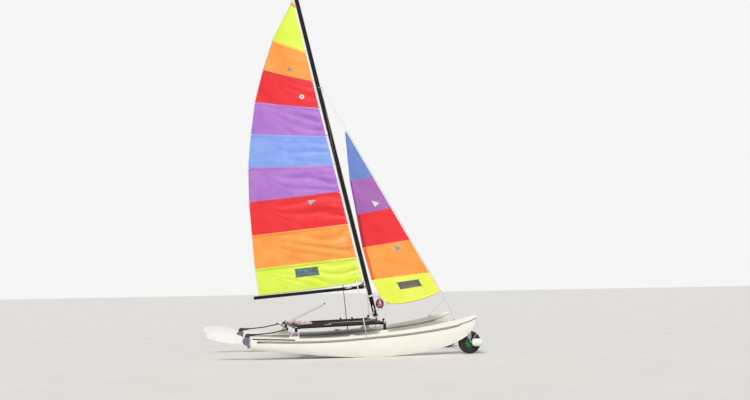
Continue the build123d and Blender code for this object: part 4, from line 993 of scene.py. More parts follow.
def cut_sail(name, cut, colours, windows):
    """Panels between seams, each seam a luff point and a leech point, with vinyl windows let in."""
    spread_steps = {i / 64 for i in range(65)}
    for window in windows:
        spread_steps |= set(window["across"])
    spread_steps = sorted(spread_steps)
    wide = len(spread_steps)
    points, faces, choice, uvs, rows = [], [], [], [], []
    for panel in range(len(colours)):
        steps = {i / PANEL_ROWS for i in range(PANEL_ROWS)}
        for window in windows:
            if window["panel"] == panel:
                steps |= set(window["up"])
        rows += [(panel, up) for up in sorted(steps)]
    rows.append((len(colours) - 1, 1.0))
    for panel, up in rows:
        luff = cut["edges"][panel][0].lerp(cut["edges"][panel + 1][0], up)
        leech = cut["edges"][panel][1].lerp(cut["edges"][panel + 1][1], up)
        for across in spread_steps:
            points.append(on_cloth(cut, panel, up, across))
            uvs.append((across * (leech - luff).length, luff.z))
    used = sorted(set(colours))
    for row in range(len(rows) - 1):
        panel = rows[row][0]
        middle_up = (rows[row][1] + (rows[row + 1][1] if rows[row + 1][0] == panel else 1)) / 2
        for i in range(wide - 1):
            middle = (spread_steps[i] + spread_steps[i + 1]) / 2
            a = row * wide + i
            faces.append((a, a + 1, a + wide + 1, a + wide))
            glazed = any(
                w["panel"] == panel and w["up"][0] < middle_up < w["up"][1]
                and w["across"][0] < middle < w["across"][1] for w in windows
            )
            choice.append(len(used) if glazed else used.index(colours[panel]))
    sail = new_piece(name, points, faces, *[cloths[key] for key in used], cut["glass"])
    spread = sail.data.uv_layers.new(name="cut")
    for face, index in zip(sail.data.polygons, choice):
        face.material_index = index
        face.use_smooth = True
        for loop in face.loop_indices:
            spread.data[loop].uv = uvs[sail.data.loops[loop].vertex_index]
    thicken(sail, 0.001)
    return sail


def map_cloth(piece):
    """Lays a UV map over a piece of sail, forward and up in metres."""
    spread = piece.data.uv_layers.new(name="cut")
    for loop in piece.data.loops:
        spot = piece.data.vertices[loop.vertex_index].co
        spread.data[loop.index].uv = (spot.x, spot.z)


def cloth_strip(name, cut, rows, material, body, stand):
    """A tape or patch sewn to one face of a sail, from rows of panel, up and across."""
    points = [[on_cloth(cut, panel, up, across, stand) for panel, up, across in row] for row in rows]
    piece = laid_strip(name, points, 0.0008, material, body)
    map_cloth(piece)
    return piece


def sewn_trim(sail, cut, body, stand, trims):
    """Tapes and patches on both faces of a sail. A trim is a name, rows, a cloth, an unused slot and its
    layers.
    """
    return [
        cloth_strip(f"{sail}_{name}_{face}", cut, rows, cloth, body, sign * stand * layers)
        for face, sign in SIDES.items() for name, rows, cloth, slot, layers in trims
    ]


def edge_rows(cut, widths, from_leech=False, panels=None):
    """Rows along a sail's luff or leech, at distances in from that edge."""
    rows = []
    for width in widths:
        row = []
        for panel in panels or range(len(cut["edges"]) - 1):
            for step in range(PANEL_ROWS + 1):
                up = step / PANEL_ROWS
                low, high = cut["edges"][panel], cut["edges"][panel + 1]
                chord = (low[0].lerp(high[0], up) - low[1].lerp(high[1], up)).length
                across = min(width / chord, 0.96)
                row.append((panel, up, 1 - across if from_leech else across))
        rows.append(row)
    return rows


cloths = {key: sailcloth("sailcloth_" + key, pair) for key, pair in CLOTH_COLOURS.items()}
white_cloth = sailcloth("sailcloth_white", ("#EDEDEA", "#F8F8F6"))
main_cut = {
    "edges": [(up_the_mast(luff, 0.056), up_the_mast(leech, aft)) for luff, leech, aft in MAIN_SEAMS],
    "belly": 0.045, "round": 0.035, "creases": MAIN_CREASES,
    "glass": clear_vinyl("smoky_vinyl_window", "#7FA0A6", "#56757B"),
}
mainsail = cut_sail("mainsail_cloth", main_cut, MAIN_PANELS, [MAIN_WINDOW])
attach(mainsail, "boom")
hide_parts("mainsail")
foot_rows = [[(0, up, i / 48) for i in range(49)] for up in (0.002, 0.025, 0.05)]
tack_rows = [
    [(0, 0.055 + i / 8 * 0.15, 0.022 + 0.11 * k / 6 * (1 - i / 8)) for k in range(7)] for i in range(8)
]
head_rows = [[(8, 0.93 + 0.068 * i / 5, 0.02 + 0.96 * k / 6) for k in range(7)] for i in range(6)]
main_trim = sewn_trim("main", main_cut, "boom", 0.0018, [
    ("luff_tape", edge_rows(main_cut, (0.002, 0.016, 0.034, 0.05)), white_cloth, "sail_white", 1),
    ("leech_tape", edge_rows(main_cut, (0.001, 0.009, 0.018), True), white_cloth, "sail_white", 1),
    ("foot_tape", foot_rows, cloths["lime"], "sail_lime", 1),
    ("tack_patch", tack_rows, cloths["lime"], "sail_lime", 1.6),
    ("head_patch", head_rows, cloths["orange"], "sail_orange", 1.6),
])


# Batten pockets: folded strips of each panel's cloth, sewn over the seams, with a flat glass fibre batten in
# each.
# The lime, orange and red ones are a shade darker than their panels, painted shade below the seam. White caps
# close their ends at the mast and at the leech.
POCKET_DROP = 0.03
# Each row's place across the pocket, and how far it stands off the sail.
POCKET_ROWS = [
    (-0.030, 0.0016), (-0.024, 0.0024), (-0.013, 0.0056), (0.0, 0.0064),
    (0.013, 0.0056), (0.024, 0.0024), (0.030, 0.0016),
]
TAPE_WIDTH = 0.05


def pocket_rows(cut, seam, acrosses):
    """Rows across a pocket, raised over its batten, on the starboard face."""
    return [
        [beside_seam(cut, seam, across, rise - POCKET_DROP, -height) for across in acrosses]
        for rise, height in POCKET_ROWS
    ]


# Pocket cloth: the lime, orange and red ones are a shade darker than their panels, painted shade along the
# seams.
pocket_shade_tones = {
    "lime": ("#CDE52F", "#DCF550"), "orange": ("#F58D33", "#FF9E48"), "red": ("#DE2630", "#EE343C"),
    "purple": ("#AE75CC", "#BF8AD9"), "blue": ("#7F9CEB", "#93AEF6"),
}
pocket_shade_finish = {key: sailcloth("pocket_shade_cloth_" + key, pair) for key, pair in pocket_shade_tones.items()}
stitch_points, stitch_edges, stitch_facing = [], [], []
for seam in range(1, len(MAIN_PANELS)):
    key = MAIN_PANELS[seam - 1]
    chord = (main_cut["edges"][seam][0] - main_cut["edges"][seam][1]).length
    first_across, last_across = (TAPE_WIDTH + 0.002) / chord, 1 - 0.02 / chord
    acrosses = [first_across + (last_across - first_across) * i / 64 for i in range(65)]
    rows = pocket_rows(main_cut, seam, acrosses)
    # Each pocket takes the darker cloth of painted shade, or yellow on the top seam.
    pocket_cloth = cloths["yellow"] if seam == 8 else pocket_shade_finish[key]
    pocket = laid_strip(f"batten_pocket_{seam}", rows, 0.0008, pocket_cloth, "boom")
    map_cloth(pocket)
    for rise in (-0.027, 0.027):
        first = len(stitch_points)
        for i in range(97):
            across = first_across + (last_across - first_across) * i / 96
            stitch_points.append(beside_seam(main_cut, seam, across, rise - POCKET_DROP, -0.003))
            stitch_facing.append(UP_MAST)
        stitch_edges += [(first + i, first + i + 1) for i in range(96)]
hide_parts("main_battens")
caps = []
cap_plastic = moulded_plastic("batten_cap_plastic", "#F4F4F1", "#E2E1DC", 500.0, 0.4)
for seam in range(1, len(MAIN_PANELS)):
    chord = (main_cut["edges"][seam][0] - main_cut["edges"][seam][1]).length
    for outer, inner, past in ((1.0, 1 - 0.03 / chord, 0.024), (0.004 / chord, 0.075 / chord, 0.0)):
        end = beside_seam(main_cut, seam, outer, -POCKET_DROP, -0.004)
        start = beside_seam(main_cut, seam, inner, -POCKET_DROP, -0.004)
        run = (end - start).normalized()
        far_end = end + run * past
        path = [start, start.lerp(far_end, 0.5), far_end - run * 0.002, far_end]
        points, faces = tube(path, [0.014, 0.016, 0.015, 0.010], 10)
        flat = [p + Vector((0, (start.y - p.y) * 0.5, 0)) for p in points]
        caps.append((flat, faces))
batten_caps = put_together("batten_caps", caps, cap_plastic, "boom")


def thread_stitches():
    """Zigzag stitches along guide lines: short bars of thread that lean one way and then the other."""
    tree, given = new_maker("thread_stitches", {
        "Pitch": 0.012, "Stitch length": 0.011, "Thread radius": 0.0007, "Lean": 0.7,
    })
    turns, sideways = swung(tree, given, "Lean")
    tangent = put(tree, "GeometryNodeInputTangent")
    slant = put(tree, "ShaderNodeVectorMath", {0: tangent.outputs[0], 1: sideways}, operation="ADD")
    turn = put(tree, "FunctionNodeAlignRotationToVector", {"Vector": slant.outputs["Vector"]}, axis="Z")
    bar = put(tree, "GeometryNodeMeshCylinder", {
        "Vertices": 4, "Radius": given["Thread radius"], "Depth": given["Stitch length"],
    })
    bars = put(tree, "GeometryNodeInstanceOnPoints", {
        "Points": turns, "Instance": bar.outputs["Mesh"], "Rotation": turn.outputs["Rotation"],
    })
    return end_maker(tree, given, bars.outputs["Instances"])


# Waxed polyester: off white, with a faint gloss.
thread = weathered("waxed_thread", [(0.4, "#E9E6DE"), (0.8, "#BDB8AC")], (30.0, 4.0, 0.5), 0.55)
stitch_maker = thread_stitches()
main_stitches = grown("main_stitches", stitch_maker, stitch_points, stitch_edges, stitch_facing,
                      {"Pitch": 0.022, "Stitch length": 0.013}, thread, "boom")


# Patches on the mainsail: sticky backed cloth, cut by hand and pressed on, that holds the tell-tales or
# covers a repair.
def stuck_patch(name, sail, outline, face, material, body):
    """A thin patch on one face of a sail. The outline runs forward of the transom and above the beach."""
    sign = SIDES[face]
    direction = Vector((0, -sign, 0))
    surface = surface_of(sail)
    centre = Vector((sum(x for x, _ in outline) / len(outline), sum(z for _, z in outline) / len(outline)))
    border = []
    for (x, z), (next_x, next_z) in zip(outline, outline[1:] + outline[:1]):
        border += [Vector((x + (next_x - x) * i / 4, z + (next_z - z) * i / 4)) for i in range(4)]
    points = [onto(surface, aboard(centre.x, sign * 2, centre.y), direction, 0.0015)[0]]
    for ring in (0.35, 0.7, 1.0):
        for corner in border:
            spot = centre.lerp(corner, ring)
            points.append(onto(surface, aboard(spot.x, sign * 2, spot.y), direction, 0.0015)[0])
    count = len(border)
    faces = [(0, 1 + i, 1 + (i + 1) % count) for i in range(count)]
    for ring in range(2):
        low = 1 + ring * count
        for i in range(count):
            after = (i + 1) % count
            faces.append((low + i, low + count + i, low + count + after, low + after))
    piece = new_piece(name, points, faces, material)
    map_cloth(piece)
    thicken(piece, 0.0006)
    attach(piece, body)
    return piece


def round_outline(x, z, radius):
    """The outline of a round patch."""
    turns = [math.pi * k / 6 for k in range(12)]
    return [(x + radius * math.cos(turn), z + radius * math.sin(turn)) for turn in turns]


dark_patch = sailcloth("patch_cloth_dark", ("#4A4648", "#5C585A"))
grey_patch = sailcloth("patch_cloth_grey", ("#8E949C", "#A9AEB4"))
white_patch = sailcloth("patch_cloth_white", ("#DEDCDA", "#ECEAE8"))
mauve_patch = sailcloth("patch_cloth_mauve", ("#8B7A9C", "#A08FB0"))
pale_lime = sailcloth("patch_cloth_lime", ("#D9E67A", "#E2EC92"))
MAIN_PATCHES = [
    ("upper_telltale", [(0.945, 6.66), (1.095, 6.665), (1.02, 6.765)], grey_patch),
    ("middle_telltale", [(1.09, 5.46), (1.24, 5.455), (1.175, 5.54)], mauve_patch),
    ("lower_telltale", [(1.43, 3.60), (1.62, 3.60), (1.49, 3.475)], grey_patch),
    ("round_patch", round_outline(1.306, 6.048, 0.058), white_patch),
    ("round_patch_middle", round_outline(1.306, 6.048, 0.022), dark_patch),
    ("tack_repair", round_outline(2.472, 1.868, 0.05), pale_lime),
]


# Jib: the same cloth in six panels, hung on the forestay by rings, its foot cut to a round and a wide fold of
# cloth sewn down the leech, coloured darker as painted shade.
JIB_SEAMS = [
    ((4.613, 1.412), (3.287, 1.138)), ((4.527, 1.560), (3.112, 1.345)), ((4.346, 1.869), (2.920, 1.705)),
    ((3.887, 2.654), (2.708, 2.475)), ((3.445, 3.411), (2.574, 3.247)), ((3.011, 4.153), (2.425, 4.054)),
    ((2.379, 5.235), (2.325, 5.215)),
]
JIB_PANELS = ["yellow_lime", "yellow_lime", "orange", "red", "deep_purple", "deep_blue"]
JIB_WINDOW = {"panel": 1, "up": (0.14, 0.59), "across": (0.25, 0.607)}
jib_cut = {
    "edges": [(aboard(a[0], 0, a[1]), aboard(b[0], 0, b[1])) for a, b in JIB_SEAMS],
    "belly": 0.05, "round": 0.105, "creases": None,
    "glass": clear_vinyl("brown_vinyl_window", "#8E887D", "#6A645C"),
}
jib = cut_sail("jib_cloth", jib_cut, JIB_PANELS, [JIB_WINDOW])
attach(jib, "platform")
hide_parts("jib")
leech_folds = []
# Painted shade: each leech fold is coloured a shade darker than its panel.
for panel, key, width, colours in (
    (2, "orange", 0.085, ("#F0641F", "#F9752C")),
    (3, "red", 0.085, ("#B01522", "#BE1E2A")),
    (4, "purple", 0.04, ("#7C3F92", "#8A4CA0")),
):
    rows = edge_rows(jib_cut, (0.001, width / 3, width * 2 / 3, width), True, [panel])
    # The fold's darker cloth is painted shade.
    fold_shade_cloth = sailcloth("leech_fold_cloth_" + key, colours)
    leech_folds.append(("leech_fold_" + key, rows, fold_shade_cloth, "sail_" + key, 1))
foot_rows = [[(0, up, i / 48) for i in range(49)] for up in (0.004, 0.08, 0.15)]
clew_rows = [[(0, 0.02 + 0.4 * i / 5, 1 - 0.11 * k / 5 * (1 - i / 6)) for k in range(6)] for i in range(6)]
jib_trim = sewn_trim("jib", jib_cut, "platform", 0.0012, [
    ("luff_tape", edge_rows(jib_cut, (0.002, 0.014, 0.028)), white_cloth, "sail_white", 1),
    ("foot_tape", foot_rows, cloths["yellow_lime"], "sail_lime", 1),
    *leech_folds,
    ("clew_patch", clew_rows, cloths["yellow_lime"], "sail_lime", 2),
])
JIB_PATCHES = [
    ("upper_jib_telltale", [(2.95, 3.59), (3.14, 3.53), (3.035, 3.435)], white_patch),
    ("lower_jib_telltale", [(3.49, 2.495), (3.665, 2.48), (3.557, 2.375)], grey_patch),
]
main_patches, jib_patches = [], []
for face in SIDES:
    for patches, sail, body, rows in (
        (main_patches, mainsail, "boom", MAIN_PATCHES), (jib_patches, jib, "platform", JIB_PATCHES),
    ):
        for name, outline, cloth in rows:
            patches.append(stuck_patch(f"{name}_{face}", sail, outline, face, cloth, body))


# Window bands: a dark tape sewn over each window's edge, on both faces.
def window_band(name, cut, window, width, material, body, stand):
    """Four strips of tape round a window."""
    (low, high), (fore, aft) = window["up"], window["across"]
    panel = window["panel"]
    strips = []
    for label, ups, acrosses in (
        ("lower", (low - width, low + width), (fore - width, aft + width)),
        ("upper", (high - width, high + width), (fore - width, aft + width)),
        ("fore", (low - width, high + width), (fore - width * 0.35, fore + width * 0.35)),
        ("aft", (low - width, high + width), (aft - width * 0.35, aft + width * 0.35)),
    ):
        rows = []
        for i in range(5):
            up = ups[0] + (ups[1] - ups[0]) * i / 4
            rows.append([(panel, up, acrosses[0] + (acrosses[1] - acrosses[0]) * k / 16) for k in range(17)])
        strips.append(cloth_strip(f"{name}_{label}", cut, rows, material, body, stand))
    return strips


band_cloth = sailcloth("window_band_cloth", ("#5B6A6A", "#6B7A78"))
for face, sign in SIDES.items():
    for sail, trim, cut, window, width, body in (
        ("main", main_trim, main_cut, MAIN_WINDOW, 0.014, "boom"),
        ("jib", jib_trim, jib_cut, JIB_WINDOW, 0.022, "platform"),
    ):
        name = f"{sail}_window_band_{face}"
        trim += window_band(name, cut, window, width, band_cloth, body, sign * 0.0015)


# Jib rings and clew: stainless rings that slide on the forestay, and a pair of stainless rings at the clew.
STAY_LOW, STAY_HIGH = aboard(4.712, 0, 1.248), aboard(1.781, 0, 6.262)
stay_run = (STAY_HIGH - STAY_LOW).normalized()
ring_spots = [STAY_LOW + stay_run * (0.22 + 0.5 * i) for i in range(9)]
grown("jib_rings", eyelet_maker, ring_spots, [], [stay_run] * 9,
      {"Ring radius": 0.0075, "Wire radius": 0.0018}, stainless, "platform")
clew = aboard(3.287, 0, 1.138)
clew_plate = []
for offset in (-0.0035, 0.0035):
    rows = [(0.006, -0.001), (0.017, -0.001), (0.017, 0.001), (0.006, 0.001), (0.006, -0.001)]
    clew_plate.append(turned(rows, clew + Vector((0.03, offset, 0.03)), to_port, 20))
put_together("jib_clew_rings", clew_plate, stainless, "platform")


# Headboard: a plate of aluminium, pressed, enamelled white and riveted through the head of the mainsail,
# where the halyard takes hold of it.
head_plate = moulded_plastic("headboard_enamel", "#E9E9E6", "#CFCEC9", 500.0, 0.4)
dress(head_plate, "headboard")


# Jib sheets: a black block stands on a strap near each end of the front bar, and a line leads up to the clew.
# Another stands beside the mast step, and the two blocks of the slack mainsheet stand on the trampoline.
SHEET_BLOCK_Y = 0.88
TAIL_BLOCK = aboard(3.036, -0.058, 0.885)
block_plastic = moulded_plastic("block_plastic", "#1A1A1C", "#303033", 700.0, 0.42)
sheet_blocks = []
for sign in SIDES.values():
    in_bar = FRONT_BAR + Vector((0, sign * SHEET_BLOCK_Y, 0))
    place = in_bar + Vector((0.005, 0, 0.072))
    sheet_blocks.append(cheek_block(place, Vector((0.25, 1, 0)).normalized(), 0.03, 0.013))
    sheet_blocks.append(tube([in_bar + Vector((0, 0, 0.03)), place], [0.009, 0.006], 10))
    strap = [(0.0324, -0.014), (0.0344, -0.014), (0.0344, 0.014), (0.0324, 0.014), (0.0324, -0.014)]
    sheet_blocks.append(turned(strap, in_bar, to_port, 28))
sheet_blocks.append(cheek_block(TAIL_BLOCK, to_port, 0.022, 0.008))
leg = [aboard(3.005, -0.07, 0.774), TAIL_BLOCK - Vector((0.006, 0.002, 0.012))]
sheet_blocks.append(tube(leg, [0.009, 0.006], 10))
put_together("jib_sheet_blocks", sheet_blocks, block_plastic, "platform")
main_blocks = []
for x in (2.2, 2.48):
    stood = on_bed((x + TRANSOM - REAR_BAR.x) / RAIL_RISE.x, 0.27, 0.0361)
    upper = stood + Vector((0.012, 0, 0.052))
    main_blocks.append(cheek_block(stood, to_port, 0.035, 0.016))
    main_blocks.append(cheek_block(upper, to_port, 0.023, 0.012))
    main_blocks.append(tube([stood, upper], [0.012, 0.009], 10))
put_together("mainsheet_blocks", main_blocks, block_plastic, "platform")
for side, sign in SIDES.items():
    place = FRONT_BAR + Vector((0.031, sign * SHEET_BLOCK_Y, 0.086))
    made_fast = clew + Vector((0.012, sign * 0.008, 0.018))
    sagging = (clew + place) / 2 + Vector((0.004, 0, -0.008))
    rope(f"{side}_jib_sheet", [made_fast, sagging, place], 0.0035, pale_line, "platform")


# Sheet tail: the loose end of a jib sheet, braided polyester, lying slack across the trampoline from the
# block beside the mast step and ending in a stopper knot.
SHEET_LINE = 0.0055


def lying(x, y):
    """A place where the line's middle lies on the bed."""
    run = (x + TRANSOM - REAR_BAR.x) / RAIL_RISE.x
    return on_bed(run, y, 0.0015 + SHEET_LINE + 0.0008)


tail_spots = [
    TAIL_BLOCK + Vector((0, 0, -0.012)), aboard(3.0, -0.078, 0.852), aboard(2.965, -0.088, 0.826),
    aboard(2.92, -0.08, 0.795), aboard(2.87, -0.05, 0.766), lying(2.81, 0.0) + Vector((0, 0, 0.004)),
    lying(2.73, 0.06), lying(2.60, 0.14), lying(2.45, 0.18), lying(2.30, 0.19), lying(2.15, 0.17),
    lying(2.02, 0.09), lying(1.90, -0.04), lying(1.85, -0.2), lying(1.9, -0.36), lying(1.84, -0.50),
    lying(1.72, -0.58),
]
tail, tail_path = rope("sheet_tail", tail_spots, SHEET_LINE, pale_line, "platform")
knot_spot = tail_path[-1] + Vector((0, 0, 0.006))
tail_knot = stopper_knot("sheet_tail_knot", knot_spot, SHEET_LINE, pale_line, "platform")


# Standing rigging: one by nineteen stainless wire, laid up with a twist, its slanted glint painted as pale
# bands.
# A cream plastic tube is slid over the lower part of each shroud, where the sheets and the crew rub.
def laid_wire(name):
    """Wire strands drawn as fine slanted bands of painted glint."""
    material, tree = new_finish(name)
    place = put(tree, "ShaderNodeTexCoord").outputs["Object"]
    strands = put(tree, "ShaderNodeTexWave", {
        "Vector": place, "Scale": 60.0, "Distortion": 0.5,
    }, bands_direction="Z")
    level = strands.outputs["Fac"]
    # Painted highlight: the pale bands are the glint on each strand.
    surfaced(tree, (level, [(0.2, "#77787A"), (0.8, "#C2C3C4")]), (level, 0.4, 0.25), more={"Metallic": 1.0})
    return material


wire = laid_wire("stainless_wire")
dress(wire, "forestay", "shrouds", "bridle")
cream_plastic = moulded_plastic("cream_shroud_tube", "#E9E4D6", "#D2CCBC", 300.0, 0.45)
covers = []
for sign in SIDES.values():
    low = aboard(2.54, sign * 1.192, 0.538)
    run = (STAY_HIGH - low).normalized()
    path = [low + run * t for t in (0.09, 0.1, 0.6, 1.19, 1.2)]
    covers.append(tube(path, [0.006, 0.012, 0.012, 0.012, 0.006], 14))
put_together("shroud_covers", covers, cream_plastic, "platform")


# Rudders: castings of grey enamelled aluminium that hold white foam cored blades, and black tiller arms
# joined by a crossbar. Stainless bolts hold the blades and the arms.
def enamelled_casting(name, lower, upper):
    """Stoved enamel on a cast skin: grey over the blade's cheeks, blue black over the tiller's socket."""
    material, tree = new_finish(name)
    place = put(tree, "ShaderNodeTexCoord").outputs["Object"]
    height = put(tree, "ShaderNodeSeparateXYZ", {"Vector": place}).outputs["Z"]
    share = put(tree, "ShaderNodeMapRange", {"Value": height, "From Min": 0.50, "From Max": 0.53})
    skin = put(tree, "ShaderNodeTexNoise", {"Vector": place, "Scale": 300.0, "Detail": 4.0}).outputs["Fac"]
    stops = [(0.0, lower), (1.0, upper)]
    surfaced(tree, (share.outputs["Result"], stops), (skin, 0.35, 0.6), (skin, 0.2, 0.0006))
    return material


blade_gelcoat = moulded_gelcoat("blade_gelcoat", "#F4F3F0", "#E0DCD4")
casting_enamel = enamelled_casting("rudder_casting_enamel", "#6E667C", "#262B33")
tiller_tube = black_anodised("tiller_tube", "#161617", "#3A3A3C", 0.3, 160.0, (1, 14, 14))
dress(blade_gelcoat, "starboard_rudder_blade", "port_rudder_blade")
dress(casting_enamel, "starboard_rudder_casting", "port_rudder_casting")
dress(tiller_tube, "starboard_tiller_arm", "port_tiller_arm", "tiller_crossbar")
for side, sign in SIDES.items():
    surface = surface_of(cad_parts[f"{side}_rudder_casting"])
    places = [(-0.118, 0.402), (-0.07, 0.56), (-0.1, 0.48), (-0.05, 0.36), (-0.15, 0.43)]
    for face, way in (("outer", sign), ("inner", -sign)):
        starts = [aboard(x, sign * 1.105 + way * 0.3, z) for x, z in places]
        name = f"{side}_{face}_casting_bolts"
        heads_on(name, surface, starts, Vector((0, -way, 0)), 0.006, f"{side}_rudder")


# Hiking stick: a grey telescopic tube on a universal joint, with its second tube clipped beside it and a
# black rubber knob on the end.
stick_tube = moulded_plastic("stick_tube_coating", "#C9C6BE", "#E0DDD4", 300.0, 0.35)
dress(stick_tube, "hiking_stick")
stick_base, stick_end = aboard(0.8, 0, 0.716), aboard(1.783, 0, 1.164)
stick_run = (stick_end - stick_base).normalized()
beside = Vector((-stick_run.z, 0, stick_run.x)) * -0.0235 + Vector((0, -0.012, 0))
twin_path = [stick_base + stick_run * t + beside for t in (0.14, 0.15, 1.0, 1.01)]
twin = [tube(twin_path, [0.005, 0.008, 0.008, 0.005], 12)]
for t in (0.3, 0.62, 0.94):
    twin.append(tube([stick_base + stick_run * t, stick_base + stick_run * t + beside], 0.0055, 8))
put_together("stick_second_tube", twin, stick_tube, "tiller_bar")
knob_rows = [(0, -0.004), (0.014, 0.0), (0.019, 0.012), (0.017, 0.026), (0.008, 0.034), (0, 0.035)]
universal = [
    cheek_block(stick_base + Vector((0.035, 0, 0.03)), to_port, 0.03, 0.016),
    cheek_block(stick_base + Vector((0.07, 0, 0.07)), to_port, 0.018, 0.012),
]
put_together("stick_universal", universal, stop_plastic, "tiller_bar")
stick_knob = turned(knob_rows, stick_end, stick_run, 20)
put_together("stick_knob", [stick_knob], stop_plastic, "tiller_bar")


# Rolled cover: a pale cotton cover, rolled loosely and left on the aft end of the trampoline, pinched in
# at two places where it is tied. It sags where nothing fills it.
def cotton(name, colour, shade):
    """Washed cotton canvas: matt and faintly woven, its weave drawn at 6 mm."""
    material, tree = new_finish(name)
    spread = put(tree, "ShaderNodeUVMap", uv_map="roll").outputs["UV"]
    soil = put(tree, "ShaderNodeTexNoise", {"Vector": spread, "Scale": 7.0, "Detail": 7.0}).outputs["Fac"]
    height = woven_over(tree, spread, 0.006, 0.2, soil)
    surfaced(tree, (soil, [(0.35, shade), (0.65, colour)]), 0.85, (height, 0.4, 0.002),
             {"Sheen Weight": 0.25, "Sheen Roughness": 0.5})
    return material


TRACK_TOP = REAR_BAR.z + 0.0425


def rolled_cover():
    """A flattened roll with puckered ends, its folds wandering along it."""
    aft_end, fore_end = aboard(0.935, -0.165, 0), aboard(1.475, -0.25, 0)
    run = (fore_end - aft_end).normalized()
    across = Vector((-run.y, run.x, 0))
    points, uvs = [], []
    rows, sides = 49, 40
    for i in range(rows):
        t = i / (rows - 1)
        swell = (1 - (2 * t - 1) ** 6) ** 0.5 * (1 - 0.18 * math.exp(-((t - 0.3) / 0.04) ** 2))
        swell *= 1 - 0.18 * math.exp(-((t - 0.72) / 0.04) ** 2)
        middle = aft_end.lerp(fore_end, t)
        bed_top = on_bed((middle.x - REAR_BAR.x) / RAIL_RISE.x, middle.y, 0.0045).z
        fall = 0 if middle.x < REAR_BAR.x + 0.06 else (t - 0.22) * 0.4
        base = max(bed_top, TRACK_TOP - fall)
        high = 0.058 * (1 + 0.22 * math.sin(math.pi * t) - 0.25 * t)
        for k in range(sides):
            angle = 2 * math.pi * k / sides
            fold = noise.noise(Vector((t * 5, math.cos(angle) * 1.6, math.sin(angle) * 1.6)))
            ridge = math.sin(3 * angle + 2.5 * t + 2 * fold)
            size = swell * (1 + 0.12 * fold + 0.06 * ridge)
            lift = max(high * math.sin(angle) * size, -high * 0.8) + high * 0.8
            points.append(middle + across * 0.095 * math.cos(angle) * size + Vector((0, 0, base + lift)))
            uvs.append((k / sides * 0.48, t * 0.55))
    canvas = cotton("washed_cotton", "#DCC9C2", "#C3ACA5")
    roll = new_piece("rolled_cover", points, rings_joined(rows, sides), canvas)
    spread = roll.data.uv_layers.new(name="roll")
    for face in roll.data.polygons:
        face.use_smooth = True
        wraps = face.vertices[1] % sides == 0
        for loop in face.loop_indices:
            vertex = roll.data.loops[loop].vertex_index
            u, v = uvs[vertex]
            spread.data[loop].uv = (0.48 if wraps and vertex % sides == 0 else u, v)
    shape = bmesh.new()
    shape.from_mesh(roll.data)
    bmesh.ops.remove_doubles(shape, verts=shape.verts, dist=0.0004)
    bmesh.ops.holes_fill(shape, edges=[e for e in shape.edges if e.is_boundary], sides=0)
    bmesh.ops.recalc_face_normals(shape, faces=shape.faces)
    shape.to_mesh(roll.data)
    shape.free()
    finer = roll.modifiers.new("finer", "SUBSURF")
    finer.levels = finer.render_levels = 1
    return roll


roll = rolled_cover()
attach(roll, "platform")


# Dolly: a galvanised steel frame on two balloon tyres with green moulded rims. Treads are moulded in two rows
# of blocks, and five bolts hold each hub.
TYRE_RADIUS = 0.258
AXLE = aboard(5.0, 0, TYRE_RADIUS)
WHEEL_Y = 0.955
TREAD_BLOCKS = 34


def galvanised(name):
    """Hot dipped zinc: dull grey, with the spangle of its crystals."""
    material, tree = new_finish(name)
    place = put(tree, "ShaderNodeTexCoord").outputs["Object"]
    spangle = put(tree, "ShaderNodeTexVoronoi", {"Vector": place, "Scale": 90.0})
    level = put(tree, "ShaderNodeSeparateColor", {"Color": spangle.outputs["Color"]}).outputs[0]
    surfaced(tree, (level, [(0.1, "#8C9093"), (0.9, "#B0B3B5")]), (level, 0.4, 0.6), more={"Metallic": 0.9})
    return material


def tread_blocks():
    """Two staggered rows of slanted blocks round a tyre whose axle runs athwart."""
    tree, given = new_maker("tread_blocks", {
        "Blocks": 34, "Tread radius": 0.25, "Row offset": 0.03, "Block width": 0.042, "Block length": 0.022,
        "Block depth": 0.012, "Stagger": 0.09,
    })
    ring = put(tree, "GeometryNodeCurvePrimitiveCircle", {
        "Resolution": given["Blocks"], "Radius": given["Tread radius"],
    })
    stood = put(tree, "GeometryNodeTransform", {
        "Geometry": ring.outputs["Curve"], "Rotation": (math.pi / 2, 0, 0),
    })
    size = put(tree, "ShaderNodeCombineXYZ", {
        "X": given["Block width"], "Y": given["Block length"], "Z": given["Block depth"],
    })
    block = put(tree, "GeometryNodeMeshCube", {"Size": size.outputs["Vector"]})
    slanted = put(tree, "GeometryNodeTransform", {"Geometry": block.outputs["Mesh"], "Rotation": (0, 0, 0.4)})
    place = put(tree, "GeometryNodeInputPosition")
    outward = put(tree, "FunctionNodeAlignRotationToVector", {"Vector": place.outputs["Position"]}, axis="Z")
    tangent = put(tree, "GeometryNodeInputTangent")
    along = put(tree, "FunctionNodeAlignRotationToVector", {
        "Rotation": outward.outputs["Rotation"], "Vector": tangent.outputs[0],
    }, axis="Y", pivot_axis="Z")
    row = put(tree, "GeometryNodeInstanceOnPoints", {
        "Points": stood.outputs["Geometry"], "Instance": slanted.outputs["Geometry"],
        "Rotation": along.outputs["Rotation"],
    })
    row_real = put(tree, "GeometryNodeRealizeInstances", {"Geometry": row.outputs["Instances"]})
    join = put(tree, "GeometryNodeJoinGeometry")
    for way in (1.0, -1.0):
        step = put(tree, "ShaderNodeMath", {0: given["Row offset"], 1: way}, operation="MULTIPLY")
        shift = put(tree, "ShaderNodeCombineXYZ", {"Y": step.outputs[0]})
        lag = put(tree, "ShaderNodeMath", {0: given["Stagger"], 1: way / 2}, operation="MULTIPLY")
        spin = put(tree, "ShaderNodeCombineXYZ", {"Y": lag.outputs[0]})
        moved = put(tree, "GeometryNodeTransform", {
            "Geometry": row_real.outputs["Geometry"], "Translation": shift.outputs["Vector"],
            "Rotation": spin.outputs["Vector"],
        })
        tree.links.new(moved.outputs["Geometry"], join.inputs["Geometry"])
    return end_maker(tree, given, join.outputs["Geometry"])


dress(galvanised("galvanised_steel"), "dolly_frame")
